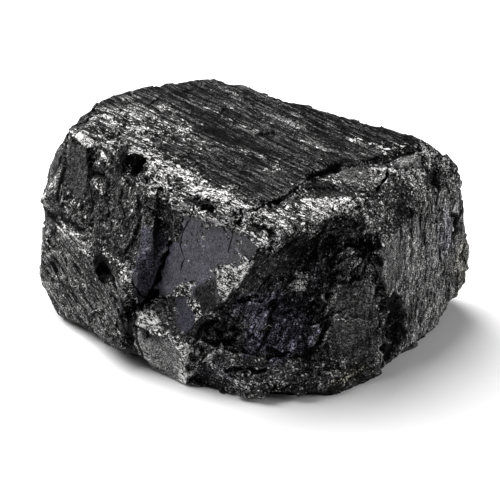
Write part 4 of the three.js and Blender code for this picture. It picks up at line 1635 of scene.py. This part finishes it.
@dataclass(frozen=True)
class JetFinish:
    """Raw jet: near-black, from glassy to gritty.

    Args:
        fracture: the facets raised on the surface.
        stone: the albedo of plain dull stone.
        gloss: the roughness of a glassy break.
        dull: the roughness of a dull one.
        bump_mm: the height of the finest relief.
        ior: the index of refraction of jet.
        sheen: how strong the dull reflection is.
        coat: how strong the gloss of a glassy break is.
        coat_roughness: the roughness of that gloss.
        coat_ior: its index of refraction.
        palest: the natural logarithm of the palest tone against plain stone.
        cloud_mm: the size of the broad clouds of tone.
        mottle_mm: the size of the mottling.
        fleck_mm: the size of the flecks.
        glint_mm: the distance between the painted glints, bright specks that stand for specular sparkle.
        pit_mm: the size of the pits.
        plate_mm: the size of the crushed flakes.
        scale_mm: the size of the scales on them.
        ridge_mm: the distance between the ridges among them.
        gap_mm: the distance between the gaps among them.
    """

    fracture: Fracture
    stone: float = 0.019
    gloss: float = 0.45
    dull: float = 0.55
    bump_mm: float = 0.30
    ior: float = 1.5
    sheen: float = 0.02
    coat: float = 0.55
    coat_roughness: float = 0.28
    coat_ior: float = 1.5
    palest: float = 3.8
    cloud_mm: float = 6.0
    mottle_mm: float = 1.6
    fleck_mm: float = 0.28
    glint_mm: float = 0.40
    pit_mm: float = 0.85
    plate_mm: float = 0.62
    scale_mm: float = 0.30
    ridge_mm: float = 0.85
    gap_mm: float = 0.80

    def make(self) -> bpy.types.Material:
        """Builds the material.

        Returns:
            The material.
        """
        material = bpy.data.materials.new("jet_raw")
        material.use_nodes = True
        material.node_tree.nodes.clear()
        graph = Graph(material.node_tree)
        position = graph.node("ShaderNodeTexCoord").outputs["Object"]
        place = graph.scaled(position, 1.0 / MM)
        rest = graph.vector("SUBTRACT", position, self._level(graph, "mark_shift", "Vector"))
        mottle = graph.noise(place, self.mottle_mm, 2.0, 0.6)
        flakes = self._flakes(place, mottle)
        ground = self._ground(place, rest, mottle, flakes)

        facet, crease = self._facets(ground)
        streak = self._streaks(ground)
        vein, split = self._hairlines(ground)
        crack = ground.marks[CRACK].step(0.25, 0.6)
        whole = 1.0 - crack.at_least(split)
        pit = graph.noise(place, self.pit_mm, 2.0, 0.6).step(0.07, 0.15)

        log_tone = self._grit_tone(ground, flakes, facet, pit)
        log_tone = log_tone + streak.at_most(1.5).at_least(-2.6) * ground.dull
        # Painted glints: bright specks in the tone that stand for specular sparkle on the grit.
        glint = graph.noise(place, self.glint_mm, 0.0).step(0.14, 0.20)
        log_tone = log_tone + glint * ground.rough * (0.3 + 1.5 * ground.coarse)
        log_tone = log_tone + self._flake_tone(ground, flakes)
        # The valleys between the raised facets are darkened as painted shade.
        log_tone = log_tone - crease * 1.5 + vein - split * 2.6
        # Painted shade and light from the relief: darker in hollows, paler on raised edges and broad swells;
        # the paler edges stand for edge wear and painted highlight together.
        log_tone = log_tone + self._level(graph, "mark_bulge").at_most(1.5).at_least(-3.0) * 0.45
        log_tone = log_tone + self._level(graph, "mark_shape").at_most(1.0).at_least(-2.0) * 0.5
        log_tone = log_tone - crack * 3.2

        roughness = self.dull + (self.gloss - self.dull) * ground.glass
        roughness = roughness + ground.fleck * 0.5 * ground.rough + facet * 0.1 * ground.rough
        shader = graph.node(
            "ShaderNodeBsdfPrincipled",
            None,
            {
                "Base Color": self._colour(ground, log_tone),
                "Roughness": roughness.at_least(0.25).at_most(0.95),
                "Normal": self._bump(ground, flakes, streak, pit),
                "IOR": self.ior,
                "Specular IOR Level": self.sheen,
                "Coat Weight": (self._coat(ground, log_tone) * whole).clamped(),
                "Coat Roughness": self.coat_roughness,
                "Coat IOR": self.coat_ior,
            },
        )
        graph.node("ShaderNodeOutputMaterial", None, {"Surface": shader.outputs[0]})
        return material

    def _level(self, graph: Graph, name: str, output: str = "Fac") -> Term:
        """Reads one of the skin's marks."""
        made = graph.node("ShaderNodeAttribute", {"attribute_type": "GEOMETRY", "attribute_name": name})
        return graph.out(made, output)

    def _flakes(self, place: Term, mottle: Term) -> Flakes:
        """Draws the flakes of crushed stone, which run a little along the bedding.

        Args:
            place: the place, in millimetres.
            mottle: the noise that makes their rims uneven.

        Returns:
            The flakes.
        """
        graph = place.graph
        flow = grain_place(graph.drift(graph.drift(place, 2.2, 2.0), 0.6, 0.5), BEDDING_AXIS, 2.5)
        aside = graph.vector("ADD", flow, (17.3, -8.1, 5.9))
        plate, pick, rim = graph.plates(flow, self.plate_mm)
        scale, _, scale_rim = graph.plates(graph.drift(flow, 0.6, 0.3), self.scale_mm)
        ridge = abs(graph.noise(flow, self.ridge_mm, 1.5, 0.6))
        gap = abs(graph.noise(aside, self.gap_mm, 1.5, 0.6))
        return Flakes(
            plate=plate,
            pick=pick,
            outline=1.0 - (rim - mottle * 0.25).step(0.0, 0.16),
            scale=scale,
            inner=scale_rim.step(0.0, 0.2),
            ridge=1.0 - ridge.step(0.02, 0.07),
            gap=1.0 - gap.step(0.025, 0.07),
        )

    def _ground(self, place: Term, rest: Term, mottle: Term, flakes: Flakes) -> Ground:
        """Reads the marks and works out how rough the stone is.

        Args:
            place: the place, in millimetres.
            rest: the place before the relief moved it, in metres.
            mottle: the noise of middle width.
            flakes: the flakes of crushed stone.

        Returns:
            What the parts of the material share.
        """
        graph = place.graph
        marks = {mark: self._level(graph, mark.value) for mark in Mark if mark is not SINK}
        cloud = graph.noise(place, self.cloud_mm)
        fleck = graph.noise(graph.drift(place, 0.8, 0.4), self.fleck_mm, 1.5, 0.6)
        ragged = (flakes.pick - 0.5) * 0.8 + mottle * 1.2 + cloud * 0.6
        crush = (marks[CRUSH] + ragged).step(0.32, 0.56)
        glass = (marks[GLASS] + mottle * 0.5 + fleck * 0.25).step(0.15, 0.7) * (1.0 - crush)
        dull = 1.0 - glass * 0.85
        return Ground(
            place=place,
            rest=rest,
            marks=marks,
            cloud=cloud,
            mottle=mottle,
            fleck=fleck,
            coarse=marks[COARSE].clamped(),
            crush=crush,
            glass=glass,
            dull=dull,
            rough=dull * (1.0 - marks[SMOOTH].clamped() * 0.7),
        )

    def _grit_tone(self, ground: Ground, flakes: Flakes, facet: Term, pit: Term) -> Term:
        """Tones the plain stone: its marked tone, clouds and grit.

        Args:
            ground: the shared terms.
            flakes: the flakes of crushed stone.
            facet: the tone of the broken facets.
            pit: 1 in the pits.

        Returns:
            The natural logarithm of the tone.
        """
        rough, coarse, crush = ground.rough, ground.coarse, ground.crush
        grain = ground.mottle * (0.8 + 2.4 * rough) + ground.fleck * (rough * (9.0 + 6.0 * coarse) + 6.0)
        grain = grain + (flakes.scale - 0.5) * rough * (0.9 + 0.9 * coarse)
        grain = grain + facet * (rough - 0.05) - pit * rough * (0.5 + 1.2 * coarse + 1.2 * crush)
        grain = grain * (1.0 - crush * 0.45)
        pale = (1.0 - (grain.at_least(0.0) * -0.8).exp()) * 1.35
        return ground.marks[TONE] + ground.cloud * (0.5 + 2.2 * rough) + grain.at_most(0.0) + pale

    def _flake_tone(self, ground: Ground, flakes: Flakes) -> Term:
        """Returns what the flakes of crushed stone add to the tone."""
        pale = flakes.plate * 2.0 - 0.1 + ground.marks[CRUSH].clamped() * 1.2 + flakes.ridge * 1.4
        return ground.crush * (pale + flakes.inner * 0.5 - flakes.outline * 1.8 - flakes.gap * 3.2)

    def _colour(self, ground: Ground, log_tone: Term) -> Term:
        """Turns the tone into a colour.

        Args:
            ground: the shared terms.
            log_tone: the natural logarithm of the tone.

        Returns:
            The albedo: grey, with the violet and olive casts where they lie.
        """
        graph = log_tone.graph
        albedo = log_tone.at_most(self.palest).exp() * self.stone
        grey = graph.scaled((1.0, 0.99, 0.985), albedo)
        violet = graph.scaled((0.94, 0.91, 1.32), albedo)
        olive = graph.scaled((1.05, 1.0, 0.72), albedo)
        colour = graph.blend(ground.marks[VIOLET].clamped() * (1.0 - ground.crush), grey, violet)
        return graph.blend(ground.marks[OLIVE].clamped(), colour, olive)

    def _coat(self, ground: Ground, log_tone: Term) -> Term:
        """Returns the gloss of the glassy breaks, and a little on the pale grit."""
        gloss = ground.glass * (self.coat + ground.mottle * 0.7 + ground.fleck * 0.9)
        return gloss + log_tone.step(0.6, 2.2) * 0.12 * ground.rough

    def _bump(self, ground: Ground, flakes: Flakes, streak: Term, pit: Term) -> Term:
        """Raises the finest relief.

        Args:
            ground: the shared terms.
            flakes: the flakes of crushed stone.
            streak: the tone of the grain.
            pit: 1 in the pits.

        Returns:
            The bent normal.
        """
        rough, fleck = ground.rough, ground.fleck
        height = fleck * (0.4 + 0.6 * ground.crush + 0.3 * ground.coarse) * rough
        height = height + ground.mottle * rough + streak * 0.12 * rough
        height = height + ground.crush * (flakes.plate * 0.5 - flakes.outline * 0.4)
        height = height + fleck * 0.05 - pit * 0.4 * rough
        sockets = {"Strength": 1.0, "Distance": self.bump_mm * MM, "Height": height}
        return height.graph.out(height.graph.node("ShaderNodeBump", None, sockets))

    def _facets(self, ground: Ground) -> tuple[Term, Term]:
        """Reads the facets raised by the relief again.

        Args:
            ground: the shared terms.

        Returns:
            The tone of the facets, and the valleys between them, which the material darkens as painted
            shade.
        """
        coarse = ground.coarse
        loose = self.fracture.loosened(ground.rest, self.fracture.seed)
        _, block, block_gap = self.fracture.breaks(loose, self.fracture.block_mm)
        _, chip, chip_gap = self.fracture.breaks(loose, self.fracture.chip_mm)
        tone = block * coarse * 2.6 + chip * (1.0 + 1.2 * coarse)
        valleys = (1.0 - block_gap.step(0.0, 0.22)) * coarse
        valleys = valleys + (1.0 - chip_gap.step(0.0, 0.13)) * (coarse * 0.5 + ground.crush * 0.6)
        return tone, valleys

    def _hairlines(self, ground: Ground) -> tuple[Term, Term]:
        """Draws the veins and the fine cracks.

        Args:
            ground: the shared terms.

        Returns:
            What the bright veins add to the tone, and how open the fine cracks are.
        """
        graph = ground.place.graph
        rest_mm = graph.scaled(ground.rest, 1.0 / MM)
        crooked = graph.drift(graph.drift(rest_mm, 2.6, 0.7), 0.55, 0.35)
        fading = graph.noise(ground.place, 1.1)
        veins: Operand = 0.0
        splits: Operand = 0.0
        for drawing, hairlines in HAIRLINES.items():
            sheet: Sheet = drawing.value
            plane = tuple(1.0 if axis in sheet.axes else 0.0 for axis in range(3))
            flat = graph.vector("MULTIPLY", crooked, plane)
            shown = graph.dot(rest_mm, sheet.facing).step(sheet.near_mm, sheet.near_mm + 1.0)
            for hairline in hairlines:
                gap = self._gap(flat, sheet.axes, hairline.line_mm)
                half = hairline.width_mm * 0.5
                line = 1.0 - graph.rise(gap - fading * half * 2.0, half * 0.6, half * 1.5)
                if hairline.tone > 0.0:
                    veins = line * shown * hairline.tone + veins
                else:
                    splits = (line * shown * -hairline.tone).at_least(splits)
        return veins * (fading + 0.12).step(0.0, 0.2), splits

    def _gap(self, flat: Term, axes: tuple[int, int], line_mm: Sequence[tuple[float, float]]) -> Term:
        """Measures the distance to a line traced on a drawing.

        Args:
            flat: the place, pressed flat on the drawing.
            axes: the two axes that the drawing shows.
            line_mm: the points of the line.

        Returns:
            The distance in millimetres.
        """
        graph = flat.graph
        points = []
        for corner in line_mm:
            point = [0.0, 0.0, 0.0]
            point[axes[0]], point[axes[1]] = corner
            points.append(Vector(point))
        nearest: Term | None = None
        for start, end in zip(points, points[1:]):
            along = end - start
            away = graph.vector("SUBTRACT", flat, tuple(start))
            share = graph.dot(away, tuple(along / along.length_squared)).clamped()
            gap = graph.vector("DISTANCE", away, graph.scaled(tuple(along), share), output=1)
            nearest = gap if nearest is None else nearest.at_most(gap)
        return nearest

    def _streaks(self, ground: Ground) -> Term:
        """Draws the grain of every direction where it belongs.

        Args:
            ground: the shared terms.

        Returns:
            What it adds to the tone.
        """
        graph = ground.place.graph
        total: Operand = 0.0
        loose = graph.drift(ground.place, 4.0, 0.8)
        for streak in STREAKS:
            squeezed = grain_place(loose, streak.axis, streak.stretch)
            lines = graph.noise(squeezed, streak.width_mm, 1.0, 0.6)
            lines = lines + 0.7 * graph.noise(squeezed, streak.width_mm * 3.0, 1.0, 0.55)
            lines = lines + 0.35 * graph.noise(squeezed, streak.width_mm * 14.0, 1.0, 0.5)
            lines = lines.at_most(streak.top) * streak.gain
            lines = lines + graph.dashes(squeezed, streak.width_mm * 1.5) * streak.dash
            total = lines * ground.marks[streak.mark] + total
        return total


# ==== The studio ====


@dataclass(frozen=True)
class Lamp:
    """A square soft light that looks at the stone.

    Args:
        name: what it is.
        place: where it hangs.
        side: how wide it is.
        power: how strong it is, in watts.
    """

    name: str
    place: Point
    side: float
    power: float


@dataclass(frozen=True)
class Studio:
    """A pale floor, soft light and the camera.

    Args:
        target: the point that the camera and the lamps look at.
        distance: how far the camera is from it.
        elevation: how far above the horizon the camera is, in degrees.
        lens: its focal length, in millimetres.
        sensor: the width of its sensor, in millimetres.
        reach: the nearest and farthest that it sees.
        sky: how strong the light from all round is.
        floor_side: how far the floor reaches from its middle.
        floor_white: the albedo of the floor.
        floor_roughness: how dull it is.
        lamps: the lamps.
    """

    target: Point = (-0.00095, -0.0068, 0.018)
    distance: float = 0.290
    elevation: float = 32.0
    lens: float = 100.0
    sensor: float = 36.0
    reach: tuple[float, float] = (0.01, 20.0)
    sky: float = 0.08
    floor_side: float = 4.0
    floor_white: float = 0.86
    floor_roughness: float = 0.9
    lamps: Sequence[Lamp] = (
        Lamp("key", (-0.33, 0.28, 0.54), 0.80, 15.6),
        Lamp("fill", (0.48, -0.10, 0.26), 0.30, 1.25),
    )

    def build(self) -> None:
        """Builds the floor, lights, world and camera."""
        scene = bpy.context.scene
        scene.view_settings.view_transform = "Standard"
        scene.view_settings.look = "None"
        self._floor()
        self._world()
        for lamp in self.lamps:
            self._light(lamp)
        self._camera()
        LOG.info("studio: %d lamps, camera %.3f m away", len(self.lamps), self.distance)

    def _floor(self) -> None:
        """Lays the floor."""
        mesh = bpy.data.meshes.new("floor")
        side, white = self.floor_side, self.floor_white
        corners = [(-side, -side, 0.0), (side, -side, 0.0), (side, side, 0.0), (-side, side, 0.0)]
        mesh.from_pydata(corners, [], [(0, 1, 2, 3)])
        floor = bpy.data.objects.new("floor", mesh)
        bpy.context.scene.collection.objects.link(floor)
        material = bpy.data.materials.new("floor_white")
        material.use_nodes = True
        shader = material.node_tree.nodes["Principled BSDF"]
        shader.inputs["Base Color"].default_value = (white, white, white, 1.0)
        shader.inputs["Roughness"].default_value = self.floor_roughness
        shader.inputs["Specular IOR Level"].default_value = 0.0
        mesh.materials.append(material)

    def _world(self) -> None:
        """Fills the surroundings with even white light."""
        world = bpy.data.worlds.new("surroundings")
        world.use_nodes = True
        back = world.node_tree.nodes["Background"]
        back.inputs["Color"].default_value = (1.0, 1.0, 1.0, 1.0)
        back.inputs["Strength"].default_value = self.sky
        bpy.context.scene.world = world

    def _light(self, lamp: Lamp) -> None:
        """Hangs one soft light, facing the stone.

        Args:
            lamp: its sizes.
        """
        data = bpy.data.lights.new(lamp.name, "AREA")
        data.shape = "SQUARE"
        data.size = lamp.side
        data.energy = lamp.power
        light = bpy.data.objects.new(lamp.name, data)
        light.location = lamp.place
        aim = Vector(self.target) - Vector(lamp.place)
        light.rotation_euler = aim.to_track_quat("-Z", "Y").to_euler()
        bpy.context.scene.collection.objects.link(light)

    def _camera(self) -> None:
        """Places the camera in front of and above the stone."""
        data = bpy.data.cameras.new("camera")
        data.lens = self.lens
        data.sensor_width = self.sensor
        data.clip_start, data.clip_end = self.reach
        camera = bpy.data.objects.new("camera", data)
        back = direction(-90.0, self.elevation)
        camera.location = Vector(self.target) + back * self.distance
        camera.rotation_euler = (-back).to_track_quat("-Z", "Y").to_euler()
        bpy.context.scene.collection.objects.link(camera)
        bpy.context.scene.camera = camera


# ==== Putting it together ====


def main() -> None:
    """Builds the stone and the studio round it."""
    logging.basicConfig(level=logging.INFO, format="%(name)s: %(message)s")
    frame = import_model()
    cad = frame["nodes"][NODE]

    grower = Skin()
    skin = grower.grow(cad)
    grower.mark(skin, cad)
    fracture = Fracture()
    material = JetFinish(fracture).make()
    Relief(fracture).raise_on(skin, material)
    Finisher().finish(skin)
    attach(skin, "root")
    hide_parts(NODE)
    Studio().build()


if __name__ == "__main__":
    main()
